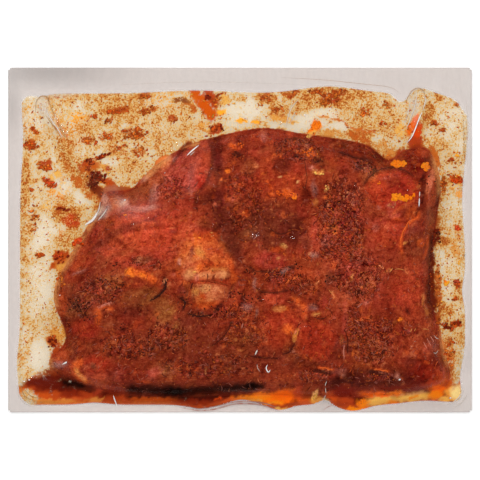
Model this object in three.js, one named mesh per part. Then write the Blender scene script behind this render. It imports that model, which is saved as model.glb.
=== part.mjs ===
// A clear vacuum-sealed pouch of pork carnitas in chile sauce, lying flat with its filled side up.
// Units are millimetres. +X runs along the long side, +Y towards the wide seal and +Z up.
// The origin is the middle of the flat underside.
//
// The pouch is one closed solid. Its top is a height field over a grid of cells:
//   welded rim, then the thin pocket of smeared paste, then the thick slab of meat.
// The slab is a pillow that rises from its edge, with lobes, creases and flaky grain on it,
// and the film makes folds round it where it was drawn tight.

import * as THREE from 'three';

// Whole pouch
const pouchLength = 230;
const pouchWidth = 171;
const pouchThickness = 24;
const pouchCornerRadius = 1.6;

// Film and paste
const rimThickness = 0.9;
const pocketThickness = 1.8;
const sealStepWidth = 3;

// Grid of the top face
const cellsAlong = 78;
const cellsAcross = 58;
const snapShare = 0.42; // share of a cell that a corner may move to land on an outline

// Pocket inside the welded rim: a rounded rectangle whose seal line waves in and out
const pocket = { left: -109.5, right: 112, bottom: -82, top: 73, corner: 7 };
const pocketWaves = [
  { side: 'top', at: -99, width: 5, out: -1.5 },
  { side: 'top', at: -22, width: 24, out: 1.5 },
  { side: 'top', at: 44, width: 20, out: 3.5 },
  { side: 'top', at: 80, width: 4, out: -4.5 },
  { side: 'top', at: 90, width: 6, out: 2.5 },
  { side: 'top', at: 109, width: 7, out: -4 },
  { side: 'right', at: 56, width: 14, out: 1.5 },
  { side: 'right', at: 20, width: 16, out: -1.5 },
  { side: 'right', at: -25, width: 7, out: -1.5 },
  { side: 'right', at: -68, width: 10, out: -2.5 },
  { side: 'bottom', at: 93, width: 14, out: -2 },
  { side: 'bottom', at: 56, width: 9, out: 3 },
  { side: 'bottom', at: 42, width: 4, out: -2.5 },
  { side: 'bottom', at: 20, width: 7, out: 2.5 },
  { side: 'bottom', at: 1, width: 8, out: -2.5 },
  { side: 'bottom', at: -19, width: 9, out: 2 },
  { side: 'bottom', at: -72, width: 8, out: -1 },
  { side: 'left', at: 50, width: 20, out: -1.5 },
  { side: 'left', at: -62, width: 12, out: 1.5 },
];

// Edge of the meat slab, from its upper left notch round with the clock
const slabEdge = [
  [-70, 15], [-66.5, 23], [-54, 25], [-42, 36.5], [-26.5, 46], [0, 53.5], [14, 55],
  [30, 52.5], [63, 46.5], [73.5, 39.5], [82, 44], [92.5, 45], [99, 28], [97.5, 14.5],
  [94, -17.5], [95, -32.5], [100, -50], [103, -70.5], [93.5, -75], [55.5, -77.5],
  [-2, -76.5], [-54.5, -76.5], [-86.5, -68.5], [-94.5, -61], [-86, -49.5],
  [-92, -27], [-84.5, -9], [-78, 2],
];
const slabEdgeSteps = 240;

// Pillow of the slab
const skirtHeight = 2.4; // sauce and film drawn up against the foot of the meat
const skirtReach = 5;
const shoulderWidth = 22;
const steeperAtBottom = 8;
const steeperAtRight = 8;
const footEase = 1.2; // above 1 the shoulder starts softly at the foot
const shoulderRound = 2.5;
const thinEnd = 14.5;
const thickEnd = 17;
const crownRise = 1.6;
const crownMiddle = [8, -16];
const crownReach = [120, 80];

// Lobes of meat and fat: middle, half length and half width, turn in degrees, rise, edge power.
// A power near 1 leaves a crisp edge round the lobe and a power near 2 a soft one.
const lobes = [
  { name: 'fat cap', at: [-16.5, -14], reach: [14, 17], turn: 12, rise: 3.4, power: 1.1 },
  { name: 'fat lip', at: [-15, -25], reach: [11, 7], turn: 0, rise: 1.6, power: 1 },
  { name: 'smooth muscle', at: [-45, 5], reach: [34, 21], turn: 32, rise: 2, power: 1.6 },
  { name: 'left muscle', at: [-63, -30], reach: [24, 17], turn: 55, rise: 2, power: 1.4 },
  { name: 'lower left lobe', at: [-72, -56], reach: [17, 13], turn: 10, rise: 2.6, power: 1.1 },
  { name: 'middle round', at: [16, -11], reach: [17, 18], turn: 0, rise: 2.4, power: 1.1 },
  { name: 'upper hump', at: [18, 30], reach: [24, 13], turn: -8, rise: 1.8, power: 1.6 },
  { name: 'upper right dome', at: [74, 22], reach: [19, 12], turn: -6, rise: 2.8, power: 1 },
  { name: 'right roll', at: [93, 22], reach: [6, 16], turn: 4, rise: 2, power: 1.2 },
  { name: 'membrane oval', at: [88, 0], reach: [8, 12], turn: 10, rise: 1.4, power: 1 },
  { name: 'right muscle', at: [72, -18], reach: [17, 30], turn: 0, rise: 1.6, power: 1.8 },
  { name: 'small lobe', at: [17, -30], reach: [11, 8], turn: 20, rise: 1.6, power: 1.1 },
  { name: 'lower lobe', at: [38, -50], reach: [14, 12], turn: 0, rise: 2.2, power: 1.1 },
  { name: 'lower middle', at: [-25, -52], reach: [30, 14], turn: -8, rise: 1.4, power: 1.6 },
  { name: 'lower right lobe', at: [86, -60], reach: [13, 12], turn: 0, rise: 2, power: 1.2 },
  { name: 'upper notch', at: [62, 38], reach: [12, 5], turn: -25, rise: -3.2, power: 1.2 },
];

// Creases between the lobes and raised folds of film: path, half width, rise
const meatCreases = [
  { path: [[-20, 38], [-17, 20], [-10, 6], [0, -10], [3, -26]], width: 4, rise: -2.2 },
  { path: [[-37, -20], [-42, -25], [-45, -31]], width: 2.6, rise: -2.2 },
  { path: [[-30, -32], [-10, -38], [8, -40]], width: 3.4, rise: -1.4 },
  { path: [[38, 30], [37, 4], [36, -20], [40, -34]], width: 3.2, rise: -1.5 },
  { path: [[52, 12], [52, -24], [53, -50]], width: 2.8, rise: -1.2 },
  { path: [[-82, -40], [-66, -43], [-54, -48]], width: 3, rise: -1.5 },
  { path: [[30, -63.5], [44, -63]], width: 2, rise: -2 },
  { path: [[63, -63], [77, -63.5]], width: 2, rise: -2 },
  { path: [[-75, -70], [-30, -67], [30, -67], [90, -68]], width: 3.5, rise: -1 },
];
const filmFolds = [
  { path: [[-98, 71.5], [-95.5, 63], [-88, 50.5], [-86, 45]], width: 3.8, rise: 2.2 },
  { path: [[-87, 47], [-80, 36.5], [-75, 32], [-70, 21]], width: 2.6, rise: 1.8 },
  { path: [[90, 75], [89.5, 66], [86.5, 53], [82.5, 45]], width: 4.4, rise: 3.4 },
  { path: [[29, 70], [25, 62], [22, 56]], width: 2.4, rise: 1.2 },
  { path: [[-107, -71], [-98, -73], [-86, -74]], width: 4, rise: 2.6 },
  { path: [[-108, -79], [-98, -80], [-90, -79]], width: 2.6, rise: 1.2 },
  { path: [[-70, -79.5], [-20, -81], [30, -80], [96, -77]], width: 3, rise: 1.6 },
];

// Unevenness of the meat, from large lumps to flaky grain, as soft noise of three sizes
const grainLayers = [
  { size: 31, rise: 1.2, seed: 5 },
  { size: 11, rise: 0.9, seed: 3 },
  { size: 6.5, rise: 0.55, seed: 8 },
];

const pouchColour = 0x8f3a22;

function clamp01(value) {
  return Math.min(Math.max(value, 0), 1);
}

function smoothStep(value) {
  const t = clamp01(value);
  return t * t * (3 - 2 * t);
}

function bell(distance, width) {
  return Math.exp(-((distance / width) ** 2));
}

// Depth inside the pocket's seal line, negative outside it
function depthInPocket(x, y) {
  const middleX = (pocket.left + pocket.right) / 2;
  const middleY = (pocket.bottom + pocket.top) / 2;
  const acrossX = Math.abs(x - middleX) - (pocket.right - pocket.left) / 2 + pocket.corner;
  const acrossY = Math.abs(y - middleY) - (pocket.top - pocket.bottom) / 2 + pocket.corner;
  const outside = Math.hypot(Math.max(acrossX, 0), Math.max(acrossY, 0));
  let depth = pocket.corner - outside - Math.min(Math.max(acrossX, acrossY), 0);
  const nearness = {
    top: smoothStep((y - pocket.top + 14) / 10),
    bottom: smoothStep((pocket.bottom + 14 - y) / 10),
    right: smoothStep((x - pocket.right + 14) / 10),
    left: smoothStep((pocket.left + 14 - x) / 10),
  };
  for (const wave of pocketWaves) {
    const runsAlongX = wave.side === 'top' || wave.side === 'bottom';
    depth += wave.out * nearness[wave.side] * bell((runsAlongX ? x : y) - wave.at, wave.width);
  }
  return depth;
}

// Closed smooth curve through the slab's edge points, as a polygon
const slabCurve = new THREE.CatmullRomCurve3(
  slabEdge.map(([x, y]) => new THREE.Vector3(x, y, 0)), true, 'centripetal');
const slabPolygon = slabCurve.getPoints(slabEdgeSteps).slice(0, slabEdgeSteps);

// Nearest point on a run of straight pieces, how far it is and how far along the run it lies
function nearestOnPath(x, y, points, closed) {
  const best = { distance: Infinity, x: 0, y: 0, along: 0 };
  const pieces = closed ? points.length : points.length - 1;
  for (let i = 0; i < pieces; i += 1) {
    const a = points[i];
    const b = points[(i + 1) % points.length];
    const dx = b.x - a.x;
    const dy = b.y - a.y;
    const t = clamp01(((x - a.x) * dx + (y - a.y) * dy) / (dx * dx + dy * dy));
    const px = a.x + t * dx;
    const py = a.y + t * dy;
    const distance = Math.hypot(x - px, y - py);
    if (distance < best.distance) {
      Object.assign(best, { distance, x: px, y: py, along: (i + t) / pieces });
    }
  }
  return best;
}

function isInsidePolygon(x, y, points) {
  let inside = false;
  for (let i = 0; i < points.length; i += 1) {
    const a = points[i];
    const b = points[(i + 1) % points.length];
    const crosses = (a.y > y) !== (b.y > y);
    if (crosses && x < a.x + ((y - a.y) * (b.x - a.x)) / (b.y - a.y)) {
      inside = !inside;
    }
  }
  return inside;
}

// Depth inside the slab's edge, negative outside it
function depthInSlab(x, y) {
  const distance = nearestOnPath(x, y, slabPolygon, true).distance;
  return isInsidePolygon(x, y, slabPolygon) ? distance : -distance;
}

// A number between -1 and 1 for a corner of the noise lattice, always the same for one corner
function latticeValue(column, row, seed) {
  let hash = Math.imul(column, 374761393) + Math.imul(row, 668265263) + Math.imul(seed, 2147483647);
  hash = Math.imul(hash ^ (hash >>> 13), 1274126177);
  hash ^= hash >>> 16;
  return (hash >>> 0) / 2147483647.5 - 1;
}

function softNoise(x, y, layer) {
  const column = Math.floor(x / layer.size);
  const row = Math.floor(y / layer.size);
  const u = smoothStep(x / layer.size - column);
  const v = smoothStep(y / layer.size - row);
  const low = (1 - u) * latticeValue(column, row, layer.seed)
    + u * latticeValue(column + 1, row, layer.seed);
  const high = (1 - u) * latticeValue(column, row + 1, layer.seed)
    + u * latticeValue(column + 1, row + 1, layer.seed);
  return layer.rise * ((1 - v) * low + v * high);
}

// Dome over a turned ellipse: rise times (1 - r squared) to the lobe's power
function lobeRise(x, y, lobe) {
  const turn = THREE.MathUtils.degToRad(lobe.turn);
  const dx = x - lobe.at[0];
  const dy = y - lobe.at[1];
  const along = (dx * Math.cos(turn) + dy * Math.sin(turn)) / lobe.reach[0];
  const across = (dy * Math.cos(turn) - dx * Math.sin(turn)) / lobe.reach[1];
  return lobe.rise * Math.max(0, 1 - along * along - across * across) ** lobe.power;
}

// Ridge or groove along a path, fading at both ends
function ridgeRise(x, y, ridge) {
  const points = ridge.path.map(([px, py]) => ({ x: px, y: py }));
  const nearest = nearestOnPath(x, y, points, false);
  const fade = 0.35 + 0.65 * Math.sin(Math.PI * nearest.along);
  return ridge.rise * fade * bell(nearest.distance, ridge.width);
}

function sumOf(list, rise) {
  return list.reduce((total, item) => total + rise(item), 0);
}

// Share of the slab's full height, from 0 at its foot to 1 past the shoulder
function pillowShare(x, y, depth) {
  const width = shoulderWidth
    - steeperAtBottom * smoothStep((-y - 48) / 22)
    - steeperAtRight * smoothStep((x - 82) / 12);
  return 1 - (1 - clamp01(depth / width) ** footEase) ** shoulderRound;
}

function reliefAt(x, y) {
  const welded = smoothStep(depthInPocket(x, y) / sealStepWidth);
  const depth = depthInSlab(x, y);
  let height = rimThickness + (pocketThickness - rimThickness) * welded;
  height += skirtHeight * welded * Math.exp(Math.min(depth, 0) / skirtReach);
  height += welded * sumOf(filmFolds, (fold) => ridgeRise(x, y, fold)) * (depth > 0 ? 0.5 : 1);
  if (depth > 0) {
    const crownX = (x - crownMiddle[0]) / crownReach[0];
    const crownY = (y - crownMiddle[1]) / crownReach[1];
    const body = thinEnd + (thickEnd - thinEnd) * smoothStep((x + 90) / 150)
      + crownRise * (1 - crownX * crownX - crownY * crownY);
    const detail = sumOf(lobes, (lobe) => lobeRise(x, y, lobe))
      + sumOf(meatCreases, (crease) => ridgeRise(x, y, crease))
      + sumOf(grainLayers, (layer) => softNoise(x, y, layer));
    height += pillowShare(x, y, depth) * (body + detail);
  }
  return height;
}

// Slides a grid corner onto the outline that runs close by, so that edges stay crisp
function snapToOutlines(x, y) {
  const reach = snapShare * Math.min(pouchLength / cellsAlong, pouchWidth / cellsAcross);
  const onSlab = nearestOnPath(x, y, slabPolygon, true);
  if (onSlab.distance < reach) {
    return [onSlab.x, onSlab.y];
  }
  const depth = depthInPocket(x, y);
  if (Math.abs(depth) < reach) {
    const step = 0.05;
    const slopeX = (depthInPocket(x + step, y) - depthInPocket(x - step, y)) / (2 * step);
    const slopeY = (depthInPocket(x, y + step) - depthInPocket(x, y - step)) / (2 * step);
    const steepness = slopeX * slopeX + slopeY * slopeY;
    return [x - (depth * slopeX) / steepness, y - (depth * slopeY) / steepness];
  }
  return [x, y];
}

// Position of a grid corner: the four outer corners are pulled in onto their small arcs
function gridCorner(column, row) {
  const x = (column / cellsAlong - 0.5) * pouchLength;
  const y = (row / cellsAcross - 0.5) * pouchWidth;
  const onSideX = column === 0 || column === cellsAlong;
  const onSideY = row === 0 || row === cellsAcross;
  if (onSideX && onSideY) {
    const pull = pouchCornerRadius * (1 - Math.SQRT1_2);
    return [x - Math.sign(x) * pull, y - Math.sign(y) * pull];
  }
  return onSideX || onSideY ? [x, y] : snapToOutlines(x, y);
}

// Indices of the grid's outer corners, once round against the clock
function borderLoop(indexOf) {
  const loop = [];
  for (let column = 0; column < cellsAlong; column += 1) {
    loop.push(indexOf(column, 0));
  }
  for (let row = 0; row < cellsAcross; row += 1) {
    loop.push(indexOf(cellsAlong, row));
  }
  for (let column = cellsAlong; column > 0; column -= 1) {
    loop.push(indexOf(column, cellsAcross));
  }
  for (let row = cellsAcross; row > 0; row -= 1) {
    loop.push(indexOf(0, row));
  }
  return loop;
}

function makePouchGeometry() {
  const indexOf = (column, row) => row * (cellsAlong + 1) + column;
  const places = [];
  for (let row = 0; row <= cellsAcross; row += 1) {
    for (let column = 0; column <= cellsAlong; column += 1) {
      const [x, y] = gridCorner(column, row);
      places.push([x, y, reliefAt(x, y)]);
    }
  }

  // The relief above the rim is scaled so that its highest lobe makes the pouch's thickness
  const highest = places.reduce((top, place) => Math.max(top, place[2]), 0);
  const stretch = (pouchThickness - rimThickness) / (highest - rimThickness);
  const positions = places.flatMap(([x, y, z]) => [x, y, rimThickness + (z - rimThickness) * stretch]);

  const triangles = [];
  const heightOf = (index) => positions[3 * index + 2];
  for (let row = 0; row < cellsAcross; row += 1) {
    for (let column = 0; column < cellsAlong; column += 1) {
      const a = indexOf(column, row);
      const b = indexOf(column + 1, row);
      const c = indexOf(column + 1, row + 1);
      const d = indexOf(column, row + 1);
      const splitsAlongAC = Math.abs(heightOf(a) - heightOf(c)) <= Math.abs(heightOf(b) - heightOf(d));
      triangles.push(...(splitsAlongAC ? [a, b, c, a, c, d] : [a, b, d, b, c, d]));
    }
  }

  // Wall down to the underside, and the flat underside as a fan about its middle
  const loop = borderLoop(indexOf);
  const firstLow = positions.length / 3;
  for (const index of loop) {
    positions.push(positions[3 * index], positions[3 * index + 1], 0);
  }
  const middle = positions.length / 3;
  positions.push(0, 0, 0);
  loop.forEach((upper, i) => {
    const next = (i + 1) % loop.length;
    const lower = firstLow + i;
    const nextLower = firstLow + next;
    triangles.push(upper, lower, loop[next], loop[next], lower, nextLower);
    triangles.push(middle, nextLower, lower);
  });

  const geometry = new THREE.BufferGeometry();
  geometry.setAttribute('position', new THREE.Float32BufferAttribute(positions, 3));
  geometry.setIndex(triangles);
  geometry.computeVertexNormals();
  return geometry;
}

const pouchMaterial = new THREE.MeshStandardMaterial({
  color: pouchColour,
  roughness: 0.25,
  metalness: 0,
});
const pouch = new THREE.Mesh(makePouchGeometry(), pouchMaterial);
pouch.name = 'pouch';

const group = new THREE.Group();
group.add(pouch);

export default group;
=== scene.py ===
import math

import bpy
import numpy as np
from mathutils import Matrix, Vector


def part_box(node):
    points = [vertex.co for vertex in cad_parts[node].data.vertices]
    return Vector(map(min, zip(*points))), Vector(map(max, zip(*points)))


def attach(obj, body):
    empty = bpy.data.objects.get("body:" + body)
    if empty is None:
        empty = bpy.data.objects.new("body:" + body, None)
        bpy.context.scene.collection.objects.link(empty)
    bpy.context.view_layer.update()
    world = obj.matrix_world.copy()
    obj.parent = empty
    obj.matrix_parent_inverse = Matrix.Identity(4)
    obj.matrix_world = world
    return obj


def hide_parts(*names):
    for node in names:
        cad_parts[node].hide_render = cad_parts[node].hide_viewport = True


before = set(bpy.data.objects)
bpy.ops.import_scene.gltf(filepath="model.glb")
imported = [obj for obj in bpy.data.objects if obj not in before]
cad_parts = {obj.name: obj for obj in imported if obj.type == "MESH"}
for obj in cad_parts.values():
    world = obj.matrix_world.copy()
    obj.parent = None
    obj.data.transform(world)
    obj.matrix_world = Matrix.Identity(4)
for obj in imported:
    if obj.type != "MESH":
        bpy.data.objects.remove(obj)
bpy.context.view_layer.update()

# A clear vacuum-sealed pouch of pork carnitas, lying flat with its filled side up.
# Shapes are worked out in millimetres and put into the meshes in metres.
metresPerMillimetre = 0.001
pouchLow, pouchHigh = [[c / metresPerMillimetre for c in corner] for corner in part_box("pouch")]

pouch = {
    "length": pouchHigh[0] - pouchLow[0],
    "width": pouchHigh[1] - pouchLow[1],
    "thickness": pouchHigh[2] - pouchLow[2],
    "corner": 1.6,
    "rim": 0.9,           # height of the welded rim
    "pocket": 1.8,        # height of the two films with paste between them
    "sealStep": 3.0,      # how far the step from rim to pocket is spread
}

# Seal line of the pocket: a rounded rectangle, with the waves that run along its sides
pocket = {"left": -109.5, "right": 112, "bottom": -82, "top": 73, "corner": 7}
pocketWaves = [  # side, place along it, half width, how far out
    ("top", -99, 5, -1.5), ("top", -22, 24, 1.5), ("top", 44, 20, 3.5), ("top", 80, 4, -4.5),
    ("top", 90, 6, 2.5), ("top", 109, 7, -4), ("right", 56, 14, 1.5), ("right", 20, 16, -1.5),
    ("right", -25, 7, -1.5), ("right", -68, 10, -2.5), ("bottom", 93, 14, -2), ("bottom", 56, 9, 3),
    ("bottom", 42, 4, -2.5), ("bottom", 20, 7, 2.5), ("bottom", 1, 8, -2.5), ("bottom", -19, 9, 2),
    ("bottom", -72, 8, -1), ("left", 50, 20, -1.5), ("left", -62, 12, 1.5),
]

# Edge of the slab of meat, from its upper left notch round with the clock
slabEdge = [
    (-70, 15), (-66.5, 23), (-54, 25), (-42, 36.5), (-26.5, 46), (0, 53.5), (14, 55),
    (30, 52.5), (63, 46.5), (73.5, 39.5), (82, 44), (92.5, 45), (99, 28), (97.5, 14.5),
    (94, -17.5), (95, -32.5), (100, -50), (103, -70.5), (93.5, -75), (55.5, -77.5),
    (-2, -76.5), (-54.5, -76.5), (-86.5, -68.5), (-94.5, -61), (-86, -49.5),
    (-92, -27), (-84.5, -9), (-78, 2),
]
slabEdgeSteps = 240

pillow = {
    "skirt": 2.4, "skirtReach": 5,                 # sauce drawn up against the foot of the meat
    "shoulder": 22, "steeperBottom": 8, "steeperRight": 8,
    "footEase": 1.2, "round": 2.5,
    "thinEnd": 14.5, "thickEnd": 17,
    "crown": 1.6, "crownMiddle": (8, -16), "crownReach": (120, 80),
}

# An ellipse is its middle, half length, half width and turn in degrees.
# Lobes of meat and fat: ellipse, rise, edge power
lobes = [
    (-16.5, -14, 14, 17, 12, 3.4, 1.1),   # fat cap
    (-15, -25, 11, 7, 0, 1.6, 1),         # lip of the fat cap
    (-45, 5, 34, 21, 32, 2, 1.6),         # smooth muscle
    (-63, -30, 24, 17, 55, 2, 1.4),       # left muscle
    (-72, -56, 17, 13, 10, 2.6, 1.1),     # lower left lobe
    (16, -11, 17, 18, 0, 2.4, 1.1),       # round in the middle
    (18, 30, 24, 13, -8, 1.8, 1.6),       # upper hump
    (74, 22, 19, 12, -6, 2.8, 1),         # upper right dome
    (93, 22, 6, 16, 4, 2, 1.2),           # roll along the right edge
    (88, 0, 8, 12, 10, 1.4, 1),           # oval membrane
    (72, -18, 17, 30, 0, 1.6, 1.8),       # right muscle
    (17, -30, 11, 8, 20, 1.6, 1.1),       # small lobe
    (38, -50, 14, 12, 0, 2.2, 1.1),       # lower lobe
    (-25, -52, 30, 14, -8, 1.4, 1.6),     # lower middle
    (86, -60, 13, 12, 0, 2, 1.2),         # lower right lobe
    (62, 38, 12, 5, -25, -3.2, 1.2),      # upper notch
]

# Creases in the meat and folds of film: path, half width, rise
meatCreases = [
    ([(-20, 38), (-17, 20), (-10, 6), (0, -10), (3, -26)], 4, -2.2),
    ([(-37, -20), (-42, -25), (-45, -31)], 2.6, -2.2),
    ([(-30, -32), (-10, -38), (8, -40)], 3.4, -1.4),
    ([(38, 30), (37, 4), (36, -20), (40, -34)], 3.2, -1.5),
    ([(52, 12), (52, -24), (53, -50)], 2.8, -1.2),
    ([(-82, -40), (-66, -43), (-54, -48)], 3, -1.5),
    ([(30, -63.5), (44, -63)], 2, -2),
    ([(63, -63), (77, -63.5)], 2, -2),
    ([(-75, -70), (-30, -67), (30, -67), (90, -68)], 3.5, -1),
]
filmFolds = [
    ([(-98, 71.5), (-95.5, 63), (-88, 50.5), (-86, 45)], 3.8, 2.2),
    ([(-87, 47), (-80, 36.5), (-75, 32), (-70, 21)], 2.6, 1.8),
    ([(90, 75), (89.5, 66), (86.5, 53), (82.5, 45)], 4.4, 3.4),
    ([(29, 70), (25, 62), (22, 56)], 2.4, 1.2),
    ([(-107, -71), (-98, -73), (-86, -74)], 4, 2.6),
    ([(-108, -79), (-98, -80), (-90, -79)], 2.6, 1.2),
    ([(-70, -79.5), (-20, -81), (30, -80), (96, -77)], 3, 1.6),
]
grainLayers = [(31, 1.2, 5), (11, 0.9, 3), (6.5, 0.55, 8)]  # size, rise, seed


# Smooth step from 0 to 1: t squared times (3 minus 2 t)
def smoothStep(value):
    t = np.clip(value, 0, 1)
    return t * t * (3 - 2 * t)


# Bell curve: e to the minus (distance over width) squared
def bell(distance, width):
    return np.exp(-(distance / width) ** 2)


columnPrime, rowPrime, seedPrime, mixingPrime = 374761393, 668265263, 2147483647, 1274126177
lowBits = 0xFFFFFFFF


# A number from -1 to 1 for each corner of a lattice, scrambled from its column, row and seed
def latticeValue(column, row, seed):
    columnBits = column.astype(np.int64) * columnPrime
    rowBits = row.astype(np.int64) * rowPrime
    bits = ((columnBits + rowBits + seed * seedPrime) & lowBits).astype(np.uint64)
    bits = ((bits ^ (bits >> np.uint64(13))) * np.uint64(mixingPrime)) & np.uint64(lowBits)
    bits = bits ^ (bits >> np.uint64(16))
    return bits.astype(float) / (lowBits / 2) - 1


# Soft noise: lattice values eased from corner to corner
def softNoise(x, y, size, seed):
    column = np.floor(x / size)
    row = np.floor(y / size)
    u = smoothStep(x / size - column)
    v = smoothStep(y / size - row)
    low = (1 - u) * latticeValue(column, row, seed) + u * latticeValue(column + 1, row, seed)
    high = (1 - u) * latticeValue(column, row + 1, seed) + u * latticeValue(column + 1, row + 1, seed)
    return (1 - v) * low + v * high


# Cloud noise from about -1 to 1: soft noise, and finer noise of half the size and strength each time
def cloud(x, y, size, seed, octaves=4):
    total = np.zeros_like(x)
    strength = 0.55
    for octave in range(octaves):
        total += strength * softNoise(x + 7.3 * octave, y - 4.1 * octave, size, seed + octave)
        size *= 0.5
        strength *= 0.6
    return total


# Nearest distance from many points to a path, and how far along the path that is, from 0 to 1
def nearestOnPath(x, y, path, closed=False):
    starts = np.asarray(path, float)
    ends = np.roll(starts, -1, axis=0)
    if not closed:
        starts, ends = starts[:-1], ends[:-1]
    best = np.full(x.shape, np.inf)
    along = np.zeros(x.shape)
    for index, (start, end) in enumerate(zip(starts, ends)):
        run = end - start
        t = np.clip(((x - start[0]) * run[0] + (y - start[1]) * run[1]) / (run @ run), 0, 1)
        distance = np.hypot(x - start[0] - t * run[0], y - start[1] - t * run[1])
        nearer = distance < best
        best[nearer] = distance[nearer]
        along[nearer] = (index + t[nearer]) / len(starts)
    return best, along


# Closed curve through points: a cubic on each stretch, paced by the root of the distances
def closedCurve(points, steps):
    points = np.asarray(points, float)
    count = len(points)
    position = np.arange(steps) / steps * count
    first = position.astype(int)
    w = (position - first)[:, None]
    a, b, c, d = (points[(first + shift) % count] for shift in (-1, 0, 1, 2))
    paceAB, paceBC, paceCD = (np.sqrt(np.linalg.norm(q - p, axis=1))[:, None]
                              for p, q in ((a, b), (b, c), (c, d)))
    leave = ((b - a) / paceAB - (c - a) / (paceAB + paceBC) + (c - b) / paceBC) * paceBC
    arrive = ((c - b) / paceBC - (d - b) / (paceBC + paceCD) + (d - c) / paceCD) * paceBC
    return (b + leave * w + (3 * (c - b) - 2 * leave - arrive) * w ** 2
            + (2 * (b - c) + leave + arrive) * w ** 3)


# Depth inside a closed curve, negative outside: nearest distance, signed by the crossing count
def depthInCurve(x, y, curve):
    inside = np.zeros(x.shape, bool)
    ends = np.roll(curve, -1, axis=0)
    for (ax, ay), (bx, by) in zip(curve, ends):
        if ay != by:
            crosses = (ay > y) != (by > y)
            inside ^= crosses & (x < ax + (y - ay) * (bx - ax) / (by - ay))
    distance = nearestOnPath(x, y, curve, closed=True)[0]
    return np.where(inside, distance, -distance)


# Depth inside a rounded rectangle, negative outside
def depthInRectangle(x, y, left, right, bottom, top, corner):
    acrossX = np.abs(x - (left + right) / 2) - (right - left) / 2 + corner
    acrossY = np.abs(y - (bottom + top) / 2) - (top - bottom) / 2 + corner
    outside = np.hypot(np.maximum(acrossX, 0), np.maximum(acrossY, 0))
    return corner - outside - np.minimum(np.maximum(acrossX, acrossY), 0)


# Depth inside the pocket: the rounded rectangle, with a bell for each wave where its side is near
def depthInPocket(x, y):
    depth = depthInRectangle(x, y, **pocket)
    near, fade = 14, 10
    nearness = {
        "top": smoothStep((y - pocket["top"] + near) / fade),
        "bottom": smoothStep((pocket["bottom"] + near - y) / fade),
        "right": smoothStep((x - pocket["right"] + near) / fade),
        "left": smoothStep((pocket["left"] + near - x) / fade),
    }
    for side, place, width, out in pocketWaves:
        run = x if side in ("top", "bottom") else y
        depth += out * nearness[side] * bell(run - place, width)
    return depth


# Distance from an ellipse's middle as a share of its reach: 1 on its edge
def ellipseShare(x, y, ellipse):
    middleX, middleY, halfLength, halfWidth, turn = ellipse
    angle = math.radians(turn)
    dx, dy = x - middleX, y - middleY
    along = (dx * math.cos(angle) + dy * math.sin(angle)) / halfLength
    across = (dy * math.cos(angle) - dx * math.sin(angle)) / halfWidth
    return np.hypot(along, across)


# Spot with a soft edge: 1 up to a share of the ellipse's reach, and eased to 0 over a spread
def softSpot(x, y, ellipse, start, spread):
    return 1 - smoothStep((ellipseShare(x, y, ellipse) - start) / spread)


# Ridge or groove along a path: a bell across it, fading at both ends
def ridgeRise(x, y, path, width, rise):
    distance, along = nearestOnPath(x, y, path)
    return rise * (0.35 + 0.65 * np.sin(math.pi * along)) * bell(distance, width)


# Height of the film: rim, pocket and skirt, and on the slab the pillow times its body and relief
def reliefHeight(x, y, slabDepth, pocketDepth):
    welded = smoothStep(pocketDepth / pouch["sealStep"])
    height = pouch["rim"] + (pouch["pocket"] - pouch["rim"]) * welded
    height += pillow["skirt"] * welded * np.exp(np.minimum(slabDepth, 0) / pillow["skirtReach"])
    folds = sum(ridgeRise(x, y, *fold) for fold in filmFolds)
    height += welded * folds * np.where(slabDepth > 0, 0.5, 1)
    crownX = (x - pillow["crownMiddle"][0]) / pillow["crownReach"][0]
    crownY = (y - pillow["crownMiddle"][1]) / pillow["crownReach"][1]
    body = (pillow["thinEnd"] + (pillow["thickEnd"] - pillow["thinEnd"]) * smoothStep((x + 90) / 150)
            + pillow["crown"] * (1 - crownX ** 2 - crownY ** 2))
    for *ellipse, rise, power in lobes:
        share = ellipseShare(x, y, ellipse)
        body += rise * np.maximum(0, 1 - share ** 2) ** power
    body += sum(ridgeRise(x, y, *crease) for crease in meatCreases)
    body += sum(rise * softNoise(x, y, size, seed) for size, rise, seed in grainLayers)
    width = (pillow["shoulder"] - pillow["steeperBottom"] * smoothStep((-y - 48) / 22)
             - pillow["steeperRight"] * smoothStep((x - 82) / 12))
    share = np.clip(slabDepth / width, 0, 1)
    return height + (1 - (1 - share ** pillow["footEase"]) ** pillow["round"]) * body


# Fields worked out once on a fine grid, and read between its points by every piece
class Fields:
    step = 0.5
    margin = 2

    def __init__(self):
        self.left = pouchLow[0] - self.margin
        self.bottom = pouchLow[1] - self.margin
        columns = int((pouch["length"] + 2 * self.margin) / self.step) + 1
        rows = int((pouch["width"] + 2 * self.margin) / self.step) + 1
        x, y = np.meshgrid(self.left + np.arange(columns) * self.step,
                           self.bottom + np.arange(rows) * self.step)
        self.slabDepth = depthInCurve(x, y, closedCurve(slabEdge, slabEdgeSteps))
        self.pocketDepth = depthInPocket(x, y)
        relief = reliefHeight(x, y, self.slabDepth, self.pocketDepth)
        stretch = (pouch["thickness"] - pouch["rim"]) / (relief.max() - pouch["rim"])
        self.filmHeight = pouch["rim"] + (relief - pouch["rim"]) * stretch

    # Weighted mean of the four grid points round each place
    def read(self, field, x, y):
        u = np.clip((x - self.left) / self.step, 0, field.shape[1] - 1.001)
        v = np.clip((y - self.bottom) / self.step, 0, field.shape[0] - 1.001)
        column, row = u.astype(int), v.astype(int)
        u, v = u - column, v - row
        low = (1 - u) * field[row, column] + u * field[row, column + 1]
        high = (1 - u) * field[row + 1, column] + u * field[row + 1, column + 1]
        return (1 - v) * low + v * high


fields = Fields()
print("fields ready", fields.filmHeight.shape)


# Height of the film, depth inside the slab and depth inside the pocket, at many places
def filmAt(x, y):
    return fields.read(fields.filmHeight, x, y)


def slabDepthAt(x, y):
    return fields.read(fields.slabDepth, x, y)


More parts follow.
